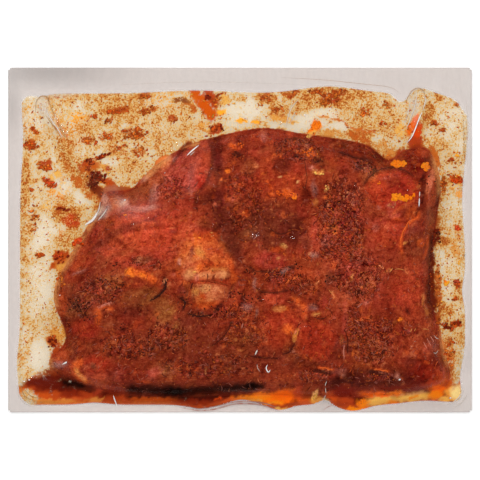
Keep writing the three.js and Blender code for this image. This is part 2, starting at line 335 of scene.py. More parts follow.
def pocketDepthAt(x, y):
    return fields.read(fields.pocketDepth, x, y)


# Depth inside the pouch's own outline
def rimDepthAt(x, y):
    return depthInRectangle(x, y, pouchLow[0], pouchHigh[0], pouchLow[1], pouchHigh[1], pouch["corner"])


# Light of a colour given as it looks on a screen, from 0 to 255 a channel
def linear(colour):
    value = np.asarray(colour, float) / 255
    return np.where(value <= 0.04045, value / 12.92, ((value + 0.055) / 1.055) ** 2.4)


# A mesh in metres from places in millimetres, riding on the pouch, with a value or colour at each vertex
def addPiece(name, vertices, faces, paint, attributes=()):
    mesh = bpy.data.meshes.new(name)
    mesh.vertices.add(len(vertices))
    mesh.vertices.foreach_set("co", (vertices * metresPerMillimetre).astype(np.float32).ravel())
    mesh.loops.add(faces.size)
    mesh.loops.foreach_set("vertex_index", faces.astype(np.int32).ravel())
    mesh.polygons.add(len(faces))
    mesh.polygons.foreach_set("loop_start", np.arange(0, faces.size, faces.shape[1], dtype=np.int32))
    mesh.polygons.foreach_set("use_smooth", np.full(len(faces), True))
    mesh.update(calc_edges=True)
    for label, values in attributes:
        values = np.asarray(values, np.float32)
        if values.ndim == 1:
            mesh.attributes.new(label, "FLOAT", "POINT").data.foreach_set("value", values)
        else:
            withAlpha = np.column_stack([values, np.ones(len(values), np.float32)])
            layer = mesh.attributes.new(label, "FLOAT_COLOR", "POINT")
            layer.data.foreach_set("color", withAlpha.astype(np.float32).ravel())
    piece = bpy.data.objects.new(name, mesh)
    bpy.context.scene.collection.objects.link(piece)
    mesh.materials.append(paint)
    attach(piece, "root")
    return piece


# Square cells inside an outline given by its depth function; corners beside the outline slide onto it
def cellsInside(depthAt, step):
    x, y = np.meshgrid(np.arange(pouchLow[0], pouchHigh[0] + step, step),
                       np.arange(pouchLow[1], pouchHigh[1] + step, step))
    depth = depthAt(x, y)
    probe = 0.25
    for _ in range(3):
        slopeX = (depthAt(x + probe, y) - depthAt(x - probe, y)) / (2 * probe)
        slopeY = (depthAt(x, y + probe) - depthAt(x, y - probe)) / (2 * probe)
        steepness = np.maximum(slopeX ** 2 + slopeY ** 2, 0.2)
        near = np.abs(depth) < 0.6 * step
        x = np.where(near, x - depth * slopeX / steepness, x)
        y = np.where(near, y - depth * slopeY / steepness, y)
        depth = np.where(near, 0, depth)
    inside = depth > -0.02
    cells = inside[:-1, :-1] & inside[1:, :-1] & inside[:-1, 1:] & inside[1:, 1:]
    number = np.arange(x.size).reshape(x.shape)
    quads = np.stack([number[:-1, :-1], number[:-1, 1:], number[1:, 1:], number[1:, :-1]], axis=-1)[cells]
    used = np.unique(quads)
    renumber = np.zeros(x.size, int)
    renumber[used] = np.arange(len(used))
    return x.ravel()[used], y.ravel()[used], renumber[quads]


# Directed edges that belong to one face only, in the order of the faces' sense
def openEdges(faces):
    edges = np.concatenate([np.stack([faces[:, k], faces[:, (k + 1) % 4]], axis=1) for k in range(4)])
    keys = np.sort(edges, axis=1)
    _, inverse, counts = np.unique(keys, axis=0, return_inverse=True, return_counts=True)
    return edges[counts[inverse.ravel()] == 1]


# Closed body between a top surface and a lower one, with a wall round its outline
def closedBody(x, y, top, low, quads):
    count = len(x)
    vertices = np.concatenate([np.stack([x, y, top], axis=1), np.stack([x, y, low], axis=1)])
    rim = openEdges(quads)
    walls = np.stack([rim[:, 1], rim[:, 0], rim[:, 0] + count, rim[:, 1] + count], axis=1)
    return vertices, np.concatenate([quads, quads[:, ::-1] + count, walls])


# Shader maths written as arithmetic: each operator on a wire adds its Math node
class Wire:
    def __init__(self, paint, socket):
        self.paint = paint
        self.socket = socket

    def maths(self, operation, left, right=0.0):
        return self.paint.add("ShaderNodeMath", {"operation": operation}, {0: left, 1: right})

    def __add__(self, other):
        return self.maths("ADD", self, other)

    def __radd__(self, other):
        return self.maths("ADD", other, self)

    def __sub__(self, other):
        return self.maths("SUBTRACT", self, other)

    def __rsub__(self, other):
        return self.maths("SUBTRACT", other, self)

    def __mul__(self, other):
        return self.maths("MULTIPLY", self, other)

    def __rmul__(self, other):
        return self.maths("MULTIPLY", other, self)



    def __pow__(self, other):
        return self.maths("POWER", self, other)

    # 0 below one value, 1 above another and eased between them
    def between(self, low, high):
        return self.paint.add("ShaderNodeMapRange", {"interpolation_type": "SMOOTHSTEP"},
                              {"Value": self, "From Min": low, "From Max": high})


# A material and its nodes
class Paint:
    def __init__(self, name):
        self.material = bpy.data.materials.new(name)
        self.material.use_nodes = True
        self.nodes = self.material.node_tree.nodes
        self.links = self.material.node_tree.links
        self.nodes.clear()

    def add(self, kind, settings, sockets, output=0):
        node = self.nodes.new(kind)
        for key, value in settings.items():
            if key == "stops":
                self.setStops(node.color_ramp.elements, value)
            else:
                setattr(node, key, value)
        for key, value in sockets.items():
            if isinstance(value, Wire):
                self.links.new(value.socket, node.inputs[key])
            else:
                node.inputs[key].default_value = value
        return Wire(self, node.outputs[output])

    def setStops(self, elements, stops):
        while len(elements) < len(stops):
            elements.new(1)
        for element, (position, colour) in zip(elements, stops):
            element.position = position
            element.color = (*linear(colour), 1)

    # Places in metres on the piece itself, so noise stays put whatever the camera does
    def place(self):
        return self.add("ShaderNodeTexCoord", {}, {}, "Object")

    def attribute(self, name, output="Fac"):
        return self.add("ShaderNodeAttribute", {"attribute_name": name}, {}, output)

    # A place turned by some degrees and scaled, which draws noise out along the small scale
    def stretched(self, vector, turn, scale):
        return self.add("ShaderNodeMapping", {}, {"Vector": vector, "Scale": scale,
                                                  "Rotation": (0, 0, math.radians(turn))})

    # Noise whose features are about this many millimetres wide
    def noise(self, vector, size, detail=4, roughness=0.6):
        return self.add("ShaderNodeTexNoise", {}, {
            "Vector": vector, "Scale": 1 / (size * metresPerMillimetre), "Detail": detail,
            "Roughness": roughness})

    # Thin bright ridges on a dark ground, like shredded fibres
    def ridges(self, vector, size, detail):
        return self.add("ShaderNodeTexNoise", {"noise_type": "RIDGED_MULTIFRACTAL"}, {
            "Vector": vector, "Scale": 1 / (size * metresPerMillimetre), "Detail": detail,
            "Roughness": 0.6, "Offset": 0.9, "Gain": 1.6})

    # A place pushed about by noise of one size, as far as the amount in millimetres
    def swirled(self, vector, size, amount):
        push = self.add("ShaderNodeTexNoise", {}, {
            "Vector": vector, "Scale": 1 / (size * metresPerMillimetre), "Detail": 2}, "Color")
        centred = self.add("ShaderNodeVectorMath", {"operation": "SUBTRACT"}, {0: push, 1: (0.5, 0.5, 0.5)})
        reach = (amount * metresPerMillimetre,) * 3
        return self.add("ShaderNodeVectorMath", {"operation": "MULTIPLY_ADD"},
                        {0: centred, 1: reach, 2: vector})

    # Colour a where the factor is 0 and colour b where it is 1; a Mix node's colour sockets are 6 and 7
    def mix(self, factor, a, b, blend="MIX"):
        a, b = (c if isinstance(c, Wire) else (*linear(c), 1) for c in (a, b))
        return self.add("ShaderNodeMix", {"data_type": "RGBA", "blend_type": blend},
                        {0: factor, 6: a, 7: b}, 2)

    # Fine relief whose full height is this many millimetres
    def bump(self, height, depth, strength=1.0):
        return self.add("ShaderNodeBump", {}, {
            "Height": height, "Distance": depth * metresPerMillimetre, "Strength": strength})

    def surface(self, sockets):
        return self.add("ShaderNodeBsdfPrincipled", {}, sockets)

    def finish(self, shader):
        output = self.nodes.new("ShaderNodeOutputMaterial")
        self.links.new(shader.socket, output.inputs["Surface"])
        return self.material


# Colours of the contents as they look on a screen; glint, milk, highlight and the milky pink are colours of
# painted highlights and sheen
foodColours = {
    "base": (138, 52, 28), "brown": (112, 46, 26), "brownRed": (132, 54, 32), "red": (182, 73, 47),
    "brightRed": (192, 69, 42), "rosy": (178, 76, 58), "rosyRed": (160, 58, 42), "plum": (130, 56, 46),
    "umber": (125, 72, 46), "maroon": (94, 36, 24), "darkMaroon": (78, 26, 17), "rust": (166, 62, 32),
    "deepRed": (114, 32, 15), "nearBlack": (52, 24, 20), "lobeRed": (158, 50, 27), "olive": (138, 76, 38),
    "orange": (218, 98, 40), "brightOrange": (238, 128, 42), "rustOrange": (196, 82, 34),
    "peach": (226, 150, 98), "salmon": (216, 122, 76), "tan": (200, 124, 64), "greyMauve": (128, 92, 86),
    "mauve": (168, 96, 80), "pink": (196, 118, 96), "juice": (16, 3, 1), "cream": (233, 216, 186),
    "gold": (222, 178, 112), "amber": (214, 158, 88), "chile": (184, 92, 34), "tanPaste": (206, 144, 84),
    "tanOrange": (208, 122, 52), "orangeRed": (208, 72, 20), "flake": (190, 104, 46),
    "darkFlake": (160, 70, 26), "rustFlake": (176, 74, 28), "wedgeRed": (84, 18, 8),
    "clot": (100, 34, 18), "brownRust": (132, 54, 22), "glint": (255, 252, 248), "milk": (236, 226, 214),
    "goldLine": (204, 160, 104), "oil": (240, 128, 24), "yellowOil": (240, 172, 62),
    "capOrange": (206, 102, 50), "lobeTan": (202, 118, 72), "glow": (220, 145, 72),
    "bloodRed": (166, 38, 20), "tanBrown": (150, 76, 44), "glassy": (165, 66, 30),
    "domeRed": (165, 52, 30), "rollRed": (150, 46, 22), "sauceRed": (112, 22, 8), "blaze": (228, 102, 18),
    "honey": (228, 158, 80), "highlight": (225, 122, 82), "fadeTan": (196, 128, 74),
    "flakyRed": (154, 62, 40), "muscleRed": (168, 60, 34), "deepOil": (196, 84, 16),
    "paleHoney": (230, 182, 112), "crease": (136, 52, 26), "shredPink": (190, 112, 90),
    "shredDark": (88, 30, 28), "curd": (226, 136, 34), "milkPink": (222, 168, 146),
    "paleFat": (230, 164, 106),
}

# Fields of colour on the meat: ellipse, colour, strength, softness of the edge
slabStains = [
    # left flank and lower band
    (-75.5, -26, 22, 32.5, -25, "brown", 0.7, 0.8), (-32, -41, 30, 17, 10, "brown", 0.6, 0.8),
    (0, -55.5, 79.5, 12, 0, "brown", 0.75, 0.7), (-88.8, -31, 3.4, 9, 4, "glassy", 0.85, 0.5),
    (-63.5, -20.5, 12, 5, 38, "olive", 0.8, 0.6), (-49, -28.5, 12, 6, 12, "olive", 0.85, 0.6),
    (-38, -34, 7, 8, 0, "olive", 0.9, 0.6), (-36.5, -64, 6, 5, 0, "umber", 0.6, 0.7),
    (-78, -6, 5, 10, -35, "rust", 0.6, 0.8), (-84, -16, 5, 6, 30, "rust", 0.7, 0.7),
    (-70, 5, 5, 3, 50, "rosyRed", 0.6, 0.8),
    # smooth muscle and the muscle above it; the milky pink patches are painted sheen of the film, the cream
    # streak at the notch painted glare
    (-44.5, 2.5, 33, 18, 24, "red", 0.92, 0.6), (-40, 3, 16, 9, 15, "brightRed", 0.55, 0.8),
    (-47, 11.5, 14, 4.6, -3, "brightRed", 0.5, 0.9), (-60, -6, 8, 5, 25, "rust", 0.5, 0.7),
    (-26, 33.5, 13, 13, 60, "rosy", 0.8, 0.55), (-19, 37, 4.6, 11, -6, "brightRed", 0.35, 0.6),
    (-19, 28.5, 3.2, 5, -5, "bloodRed", 0.6, 0.6), (-17, 46, 5, 4, 20, "rosy", 0.6, 0.6),
    (-37.5, 37.5, 6, 2.8, 52, "salmon", 0.75, 0.5), (-31, 41, 5, 1.8, 42, "rosyRed", 0.7, 0.6),
    (-34, 27, 9, 5.5, 35, "rosyRed", 0.6, 0.6), (-40.5, 27, 4, 6, -15, "highlight", 0.3, 0.9),
    (-62, 18, 4.5, 5, 0, "highlight", 0.5, 0.9), (-44.5, 33.4, 5.5, 2.2, 45, "peach", 0.8, 0.9),
    (-48.5, 29.6, 4, 2, 35, "milkPink", 0.5, 0.9), (-36.5, 40.5, 3, 1.6, 45, "milkPink", 0.5, 0.8),
    (-31.4, 44.8, 4, 1.1, 40, "peach", 0.7, 0.8), (-32.4, 40, 2.4, 1.5, 45, "milkPink", 0.35, 0.8),
    (-57.3, 18.6, 3.4, 2.4, 20, "milkPink", 0.85, 0.8), (-52.5, 16.2, 7, 2, -12, "milkPink", 0.4, 0.9),
    (-44.5, 15.6, 5, 1.8, 12, "milkPink", 0.42, 0.9), (-42.6, 22, 2.6, 7, -8, "milkPink", 0.28, 0.9),
    (-60.6, 20, 3.4, 2.8, 0, "milkPink", 0.35, 0.9), (-67.4, 20.5, 2.4, 5, 10, "milkPink", 0.5, 0.8),
    (-70.4, 13.4, 2, 5, -38, "cream", 0.8, 0.7), (-66, 14, 2, 4, -30, "milkPink", 0.45, 0.8),
    (-28.5, 44.3, 2.2, 1.5, 30, "clot", 0.85, 0.5), (-50.5, 22.5, 9, 5.4, 8, "tanBrown", 0.7, 0.9),
    (-48, -9.5, 6, 2.8, 5, "umber", 0.75, 0.6), (-25, 23.5, 1.8, 2.6, 0, "mauve", 0.5, 0.6),
    (-33, 6, 1.6, 0.7, 10, "salmon", 0.9, 0.4), (-33, 4, 2.2, 0.7, 0, "plum", 0.7, 0.5),
    (-57, -14, 4, 1.6, -25, "deepRed", 0.6, 0.6),
    # trough from the top edge down beside the fat cap
    (-7, 6, 9.5, 28, 14, "maroon", 0.85, 0.7), (-12, 38, 3, 11, 8, "maroon", 0.85, 0.5),
    (-14, 21, 9, 4.5, 10, "darkMaroon", 0.6, 0.6), (6, 51, 3.6, 3.4, 0, "deepRed", 0.75, 0.5),
    (15, 7, 18, 15, 0, "maroon", 0.8, 0.6), (28, 4, 6, 8, 0, "darkMaroon", 0.75, 0.6),
    (36.6, 3, 2, 10, 0, "rosyRed", 0.7, 0.6), (5, 3, 5, 5, 0, "umber", 0.45, 0.7),
    (3, 13.3, 2.8, 2.4, 0, "rustOrange", 0.8, 0.6), (-13, 17.5, 1, 1.5, -20, "salmon", 0.7, 0.5),
    (-18, 8, 4.5, 3, 0, "olive", 0.5, 0.7), (-3, -4, 4, 9, 15, "darkMaroon", 0.6, 0.7),
    # upper hump and the top edge
    (17.5, 30.5, 19, 12, 0, "rust", 0.6, 0.7), (8, 43, 6, 3, 0, "red", 0.5, 0.7),
    (24, 50, 32, 5, -6, "rust", 0.6, 0.6), (44, 48, 13, 4, -7, "deepRed", 0.6, 0.6),
    (33, 22, 3.2, 6.5, 0, "wedgeRed", 0.75, 0.5), (21, 36.5, 5.5, 5, 0, "maroon", 0.7, 0.5),
    (55.5, 44.5, 13, 4.5, -14, "deepRed", 0.6, 0.6), (47, 39, 8, 4, -10, "rust", 0.6, 0.6),
    (-3.5, 46.5, 3.2, 1.7, -20, "orange", 0.85, 0.5), (0.5, 45.5, 2.2, 1.2, 0, "rustOrange", 0.7, 0.6),
    (-1, 42.5, 3, 1.5, 0, "nearBlack", 0.7, 0.5), (-10.5, 45, 2, 3.5, 0, "darkMaroon", 0.8, 0.5),
    (4.5, 35, 5, 5.5, 0, "tanBrown", 0.6, 0.6), (8, 36, 2.2, 1.6, 0, "lobeTan", 0.85, 0.6),
    (-6.9, 33.5, 1.7, 0.8, -5, "brightOrange", 1, 0.4), (-9.7, 30, 0.7, 0.6, 0, "orange", 0.9, 0.4),
    (12, 51.5, 2, 3.8, -10, "pink", 0.5, 0.6), (27, 48.5, 3, 1.8, -10, "rustOrange", 0.7, 0.6),
    (33, 47, 1.6, 2, 0, "mauve", 0.5, 0.6), (30, 44, 2, 1.4, 0, "orange", 0.7, 0.5),
    (28.3, 41.5, 1.3, 2.2, 0, "darkMaroon", 0.8, 0.5), (38, 39, 3.2, 2.4, 20, "nearBlack", 0.6, 0.6),
    (35.5, 42.5, 3, 2, 0, "orange", 0.75, 0.6), (19.8, 31.4, 0.9, 0.6, 0, "gold", 0.9, 0.4),
    (28, 28.8, 0.7, 1, 0, "gold", 0.9, 0.4), (23.5, 23.5, 3, 2.4, -20, "orange", 0.85, 0.5),
    (26.4, 21.6, 1.4, 1.6, 0, "brightOrange", 0.95, 0.5), (15.5, 22.6, 2.6, 1.2, -10, "orange", 0.7, 0.6),
    # flaky right half
    (55.5, -5, 24, 41.5, 0, "flakyRed", 0.8, 0.6), (43, 7, 4, 5, 0, "rustOrange", 0.4, 0.7),
    (37.5, 25.5, 1.9, 5, 3, "greyMauve", 0.6, 0.7), (37.5, 18.5, 1.5, 2.6, 8, "tan", 0.85, 0.5),
    (43, 17.5, 2.4, 2.6, 0, "darkMaroon", 0.75, 0.5), (50, 18, 4, 1, -20, "darkMaroon", 0.6, 0.5),
    (42, 12, 2.2, 1.5, 0, "greyMauve", 0.5, 0.6), (43, -1.5, 3.4, 3, 0, "mauve", 0.5, 0.7),
    (50, 8, 2, 3, 0, "rosy", 0.5, 0.7), (52.5, 22, 3, 2.4, 20, "pink", 0.55, 0.7),
    (56, 19, 3, 1.4, -30, "mauve", 0.5, 0.6), (46, 6, 2, 3.6, 0, "darkMaroon", 0.7, 0.6),
    (59, 37, 2.2, 4.6, -30, "darkMaroon", 0.85, 0.5), (58.5, 36.5, 1.8, 3.8, -10, "plum", 0.7, 0.5),
    (63.5, 34.6, 2.8, 1.9, 0, "rosy", 0.85, 0.5), (69, 17, 2, 1.4, 0, "mauve", 0.6, 0.5),
    (67, 35, 1.6, 1, 0, "nearBlack", 0.95, 0.4), (63, 39, 6, 2.2, -22, "nearBlack", 0.6, 0.7),
    (37, -7.5, 3.6, 1.8, 0, "greyMauve", 0.65, 0.7), (26, -13.5, 2.2, 1.6, 0, "nearBlack", 0.7, 0.5),
    (20.5, -17, 3.6, 1, 0, "nearBlack", 0.6, 0.6), (32, -17, 7, 5, 0, "rust", 0.5, 0.7),
    (45, -18.5, 3.6, 4.6, 0, "nearBlack", 0.6, 0.7), (47, -12, 2.6, 3, 0, "rustOrange", 0.45, 0.7),
    (53, -8, 3, 3, 0, "rustOrange", 0.5, 0.7), (57, -26.5, 6, 3, 0, "maroon", 0.6, 0.6),
    (62, -31, 3, 1.5, 30, "mauve", 0.4, 0.6), (54.7, -18.8, 0.9, 2.3, -10, "honey", 0.75, 0.5),
    (69.5, -13, 1.4, 1, -20, "salmon", 0.8, 0.5), (73.5, -15.6, 2.4, 0.8, 20, "tan", 0.6, 0.5),
    (62, -39, 4, 1.6, 0, "rustOrange", 0.7, 0.6), (70, -46, 7, 5, 0, "rosyRed", 0.45, 0.7),
    (68, -55.5, 4, 2.8, 0, "darkMaroon", 0.7, 0.6), (79, -39, 1.3, 0.9, 0, "brightOrange", 0.8, 0.5),
    # round in the middle and the lobes below it
    (14.5, -10, 10, 5, 0, "rosyRed", 0.85, 0.4), (18, -19.5, 6, 2.6, 0, "rosy", 0.6, 0.6),
    # the mauve spot at (21.8, -15) is a painted glint
    (19, -4, 5, 1.6, 8, "rustOrange", 0.6, 0.6), (21.8, -15, 2.4, 0.8, 5, "mauve", 0.8, 0.6),
    (20, -42, 10, 13, 0, "lobeRed", 0.7, 0.5), (37.5, -50, 11.5, 11, 0, "lobeRed", 0.85, 0.4),
    (18, -28.5, 7, 4, 5, "red", 0.8, 0.4), (20, -33.5, 4.4, 1.5, 4, "tan", 0.9, 0.45),
    (24, -33.5, 1.4, 1, 0, "orange", 0.85, 0.5), (41, -30, 3.4, 4, 0, "rosyRed", 0.7, 0.5),
    (36.4, -33.4, 2.4, 2.2, 0, "greyMauve", 0.6, 0.8), (24, -43.5, 3.4, 3, -40, "orange", 0.65, 0.6),
    (3.5, -33, 4.6, 2.2, 0, "mauve", 0.4, 0.8), (26, -55.3, 1.3, 1, 0, "mauve", 0.7, 0.5),
    (54, -52.5, 2.4, 4.6, 0, "maroon", 0.8, 0.5), (58, -47, 4, 4, 0, "maroon", 0.5, 0.7),
    # upper right dome, right muscle and the oval membrane
    (75.5, 24.5, 15, 10.5, -6, "domeRed", 0.9, 0.3), (76, 29, 5, 3.4, 0, "brown", 0.5, 0.6),
    (66, 30, 4, 2, 20, "orange", 0.35, 0.7), (75, 4, 13, 10.5, 10, "muscleRed", 0.9, 0.6),
    (74, 5, 5, 4, 30, "red", 0.7, 0.8), (68.5, 8.5, 5, 3, 30, "rosy", 0.5, 0.7),
    (83.5, -25, 11, 18, 0, "muscleRed", 0.8, 0.6), (80, -25, 5, 5, 0, "brightRed", 0.3, 0.7),
    (74.5, 17.5, 3, 2, 0, "mauve", 0.5, 0.8), (85, 13.5, 3.4, 3, 30, "rustOrange", 0.7, 0.6),
    (77.5, 10.6, 3, 0.8, -4, "orange", 0.7, 0.5), (75.5, 13, 4.6, 3, 0, "rosy", 0.6, 0.6),
    (67.5, 6, 2, 2.6, -30, "pink", 0.5, 0.7), (86.5, -0.5, 6.4, 9, -8, "brownRed", 0.85, 0.3),
    (93, 11, 4.6, 5, 20, "tanBrown", 0.85, 0.6), (89.6, -1.8, 2.6, 2.8, 0, "rustOrange", 0.85, 0.5),
    (81.5, -1.3, 1.1, 0.9, 10, "honey", 1, 0.3), (86, 5, 3.4, 2.4, 30, "plum", 0.5, 0.6),
    (88, 14, 1.4, 4, 0, "darkMaroon", 0.5, 0.6), (87.5, 39, 7.5, 7, 0, "sauceRed", 0.95, 0.5),
    (90, 43.5, 5, 3, 0, "rust", 0.7, 0.7), (89, 27, 2.4, 4, 10, "deepRed", 0.5, 0.7),
    (95, 26, 4.4, 10.5, 4, "rollRed", 0.95, 0.35), (96.4, 33.2, 2.4, 2, -20, "rust", 0.9, 0.6),
    (93.7, 27, 1.7, 5, -20, "highlight", 1, 0.6), (95.6, 30.6, 1.8, 1.8, 0, "highlight", 0.9, 0.6),
    (93, 20, 1.8, 4.4, 6, "rust", 0.8, 0.6), (97.6, 27, 1.2, 4, -6, "deepRed", 0.6, 0.6),
    # brown strip down the right wall: juice and painted shadow of the shaded side
    (95, -17.5, 3.4, 24, 0, "brown", 0.9, 0.4),
    # lower left lobe
    (-80.5, -32, 5.5, 4.5, 0, "nearBlack", 0.65, 0.8), (-86, -41, 2.4, 5, 28, "clot", 0.75, 0.5),
    (-76.5, -44, 9, 6.5, 10, "domeRed", 0.9, 0.6), (-79, -43, 5.5, 3.5, 10, "rust", 0.7, 0.6),
    (-70, -37.5, 2.4, 5, 0, "rustOrange", 0.75, 0.6), (-79, -37.8, 1.7, 0.5, 0, "greyMauve", 0.7, 0.4),
    (-63, -42, 6, 3.5, 10, "tanBrown", 0.6, 0.6), (-52, -35, 10, 4, 0, "maroon", 0.6, 0.6),
    (-57.5, -44, 2, 1.5, 0, "darkMaroon", 0.8, 0.6), (-70.5, -62, 9, 6.5, -10, "lobeRed", 0.85, 0.5),
    (-72, -62, 3.2, 1.8, -30, "umber", 0.7, 0.6), (-70, -67.5, 7, 2.4, -5, "red", 0.8, 0.6),
    (-79.6, -60.5, 3.4, 2.6, 60, "orange", 0.8, 0.5), (-60, -66, 3, 4.5, -20, "rosy", 0.45, 0.7),
    # the mauve spot at (-88.5, -61.5) is a painted highlight of the film
    (-89, -56, 6, 6, 0, "glassy", 0.95, 0.4), (-88.5, -61.5, 5, 2, 12, "mauve", 0.7, 0.6),
    (-47.5, -70, 5, 1.1, 0, "rustOrange", 0.9, 0.5),
    # specks and small patches of the lower half
    (-42, -65.5, 4.5, 2.6, 20, "rosy", 0.65, 0.6), (-37, -46, 3.6, 3.6, 0, "red", 0.6, 0.6),
    (-31.5, -42, 2.5, 2.5, 0, "tan", 0.35, 0.7), (-43.5, -53.5, 2, 1.7, 0, "nearBlack", 0.8, 0.6),
    (-49, -56, 1, 1.7, -15, "nearBlack", 0.8, 0.5), (-64, -57, 2.4, 1.5, 0, "darkMaroon", 0.7, 0.6),
    (-25, -42, 15, 8, 20, "maroon", 0.5, 0.8), (-53, -48, 7, 3.5, 0, "maroon", 0.5, 0.7),
    (-56, -52, 5, 2, 10, "rosyRed", 0.5, 0.7), (-69, -25, 4, 2.4, 20, "red", 0.5, 0.7),
    # bottom edge and the lower right corner: the dark band along the foot is part sauce and part painted
    # shadow, the pink and mauve spots at x 48 to 51 and 78 painted highlights
    (65.5, -68.5, 32.5, 7, 0, "darkMaroon", 0.8, 0.6), (93.5, -66.5, 15, 11, 0, "sauceRed", 0.85, 0.7),
    (95, -66, 6, 3.4, 0, "domeRed", 0.5, 0.7), (100, -66, 4, 4.5, 0, "rust", 0.75, 0.9),
    (-66, -72.6, 6, 2, 0, "rust", 0.5, 0.9), (40, -67.5, 8, 2, 0, "rosyRed", 0.5, 0.6),
    (69, -67.5, 6, 2, 0, "rosyRed", 0.5, 0.6), (50.4, -66, 1.9, 3.2, 15, "mauve", 0.55, 1),
    (51, -67.4, 1.4, 1.2, 30, "pink", 0.5, 0.9), (78.2, -67, 1.5, 2.6, 30, "pink", 0.65, 0.9),
    (93, -53, 4, 4, 0, "rosy", 0.55, 0.7), (84, -60, 4, 4, 0, "maroon", 0.6, 0.6),
    (92, -60.5, 2, 1.2, -20, "rustOrange", 0.6, 0.6), (90.8, 9.4, 1.6, 5, 0, "rust", 0.5, 0.9),
    (33.4, -2, 4, 4.5, 0, "maroon", 0.8, 0.9), (71, -48, 5, 4.5, 0, "red", 0.6, 0.9),
    (79.6, -43.8, 4, 4, 0, "red", 0.6, 0.9), (48, -65.6, 3.4, 2, 0, "mauve", 0.45, 1),
    (63.5, 32, 5, 3.6, 0, "salmon", 0.4, 0.9),
    # fat cap, its lip, and the fat beside it
    (-17, -9, 15, 12, -8, "capOrange", 0.95, 0.35), (-16, 2, 7, 3, 5, "rustOrange", 0.8, 0.6),
    (-9, -6, 5.5, 3.5, -30, "rust", 0.6, 0.6), (-25.5, -12.5, 4.6, 6.4, 0, "salmon", 0.8, 0.7),
    (-4, -5, 3.4, 6.5, 30, "maroon", 0.9, 0.8), (-20, 3, 4, 2, 0, "rust", 0.5, 0.8),
    (-24, 1.4, 4.4, 3, 15, "rust", 0.8, 0.8), (-27.6, -21.4, 2.8, 2, 0, "capOrange", 0.8, 0.8),
    (-37, 31, 4, 3, 45, "highlight", 0.4, 0.9), (-19.2, -6.3, 2.6, 3.8, 12, "glow", 0.9, 0.7),
    (-13, -12, 6, 1.6, -8, "orange", 0.7, 0.6), (-22, -10, 2.5, 2, 0, "tan", 0.6, 0.6),
    (-20, -10.6, 2.6, 1.2, 10, "brightOrange", 0.5, 0.8), (-28, -17, 4, 3, -20, "rustOrange", 0.6, 0.6),
    (-12, -14.4, 5.4, 1.7, -4, "glow", 0.9, 0.7), (-17, -17.2, 11, 2.2, -2, "paleFat", 0.8, 1),
    (-8.8, -17.2, 3.2, 2.6, 0, "paleFat", 0.85, 0.9), (-25.4, -17.2, 3.2, 2.6, 15, "paleFat", 0.9, 0.9),
    (-20, -13.8, 1.6, 1.5, 0, "brightOrange", 0.6, 0.6),
    (-19.6, -15.8, 2.6, 0.9, 25, "rustOrange", 0.55, 0.9),
    (-14.2, -16.2, 2.6, 0.8, -20, "orange", 0.55, 0.9), (-24, -14.4, 2.4, 1.2, 30, "tan", 0.6, 0.9),
    (-22.6, -18.8, 0.9, 1.2, 10, "orange", 0.5, 0.9), (-16, -26, 10.4, 6.8, 0, "lobeTan", 0.95, 0.5),
    (-17.8, -23.4, 3.4, 2, 0, "paleFat", 1, 0.6), (-12, -25, 3.4, 1.8, -10, "peach", 0.6, 0.6),
    (-20, -29, 3.6, 2.6, 0, "orange", 0.5, 0.6), (-22, -25.4, 2.6, 2.6, 0, "glow", 0.5, 0.7),
    (-17, -32, 8, 2.6, 4, "rustOrange", 0.9, 0.6), (-3, -19, 2.4, 4, -20, "rustOrange", 0.7, 0.6),
    (-28.5, -25.5, 2.6, 2.4, 0, "plum", 0.6, 0.6),
    (-53.3, -15.5, 3.3, 2.7, -10, "brightOrange", 0.95, 0.5),
    (-36.5, -21.5, 1.2, 1.2, 0, "nearBlack", 0.8, 0.5),
]

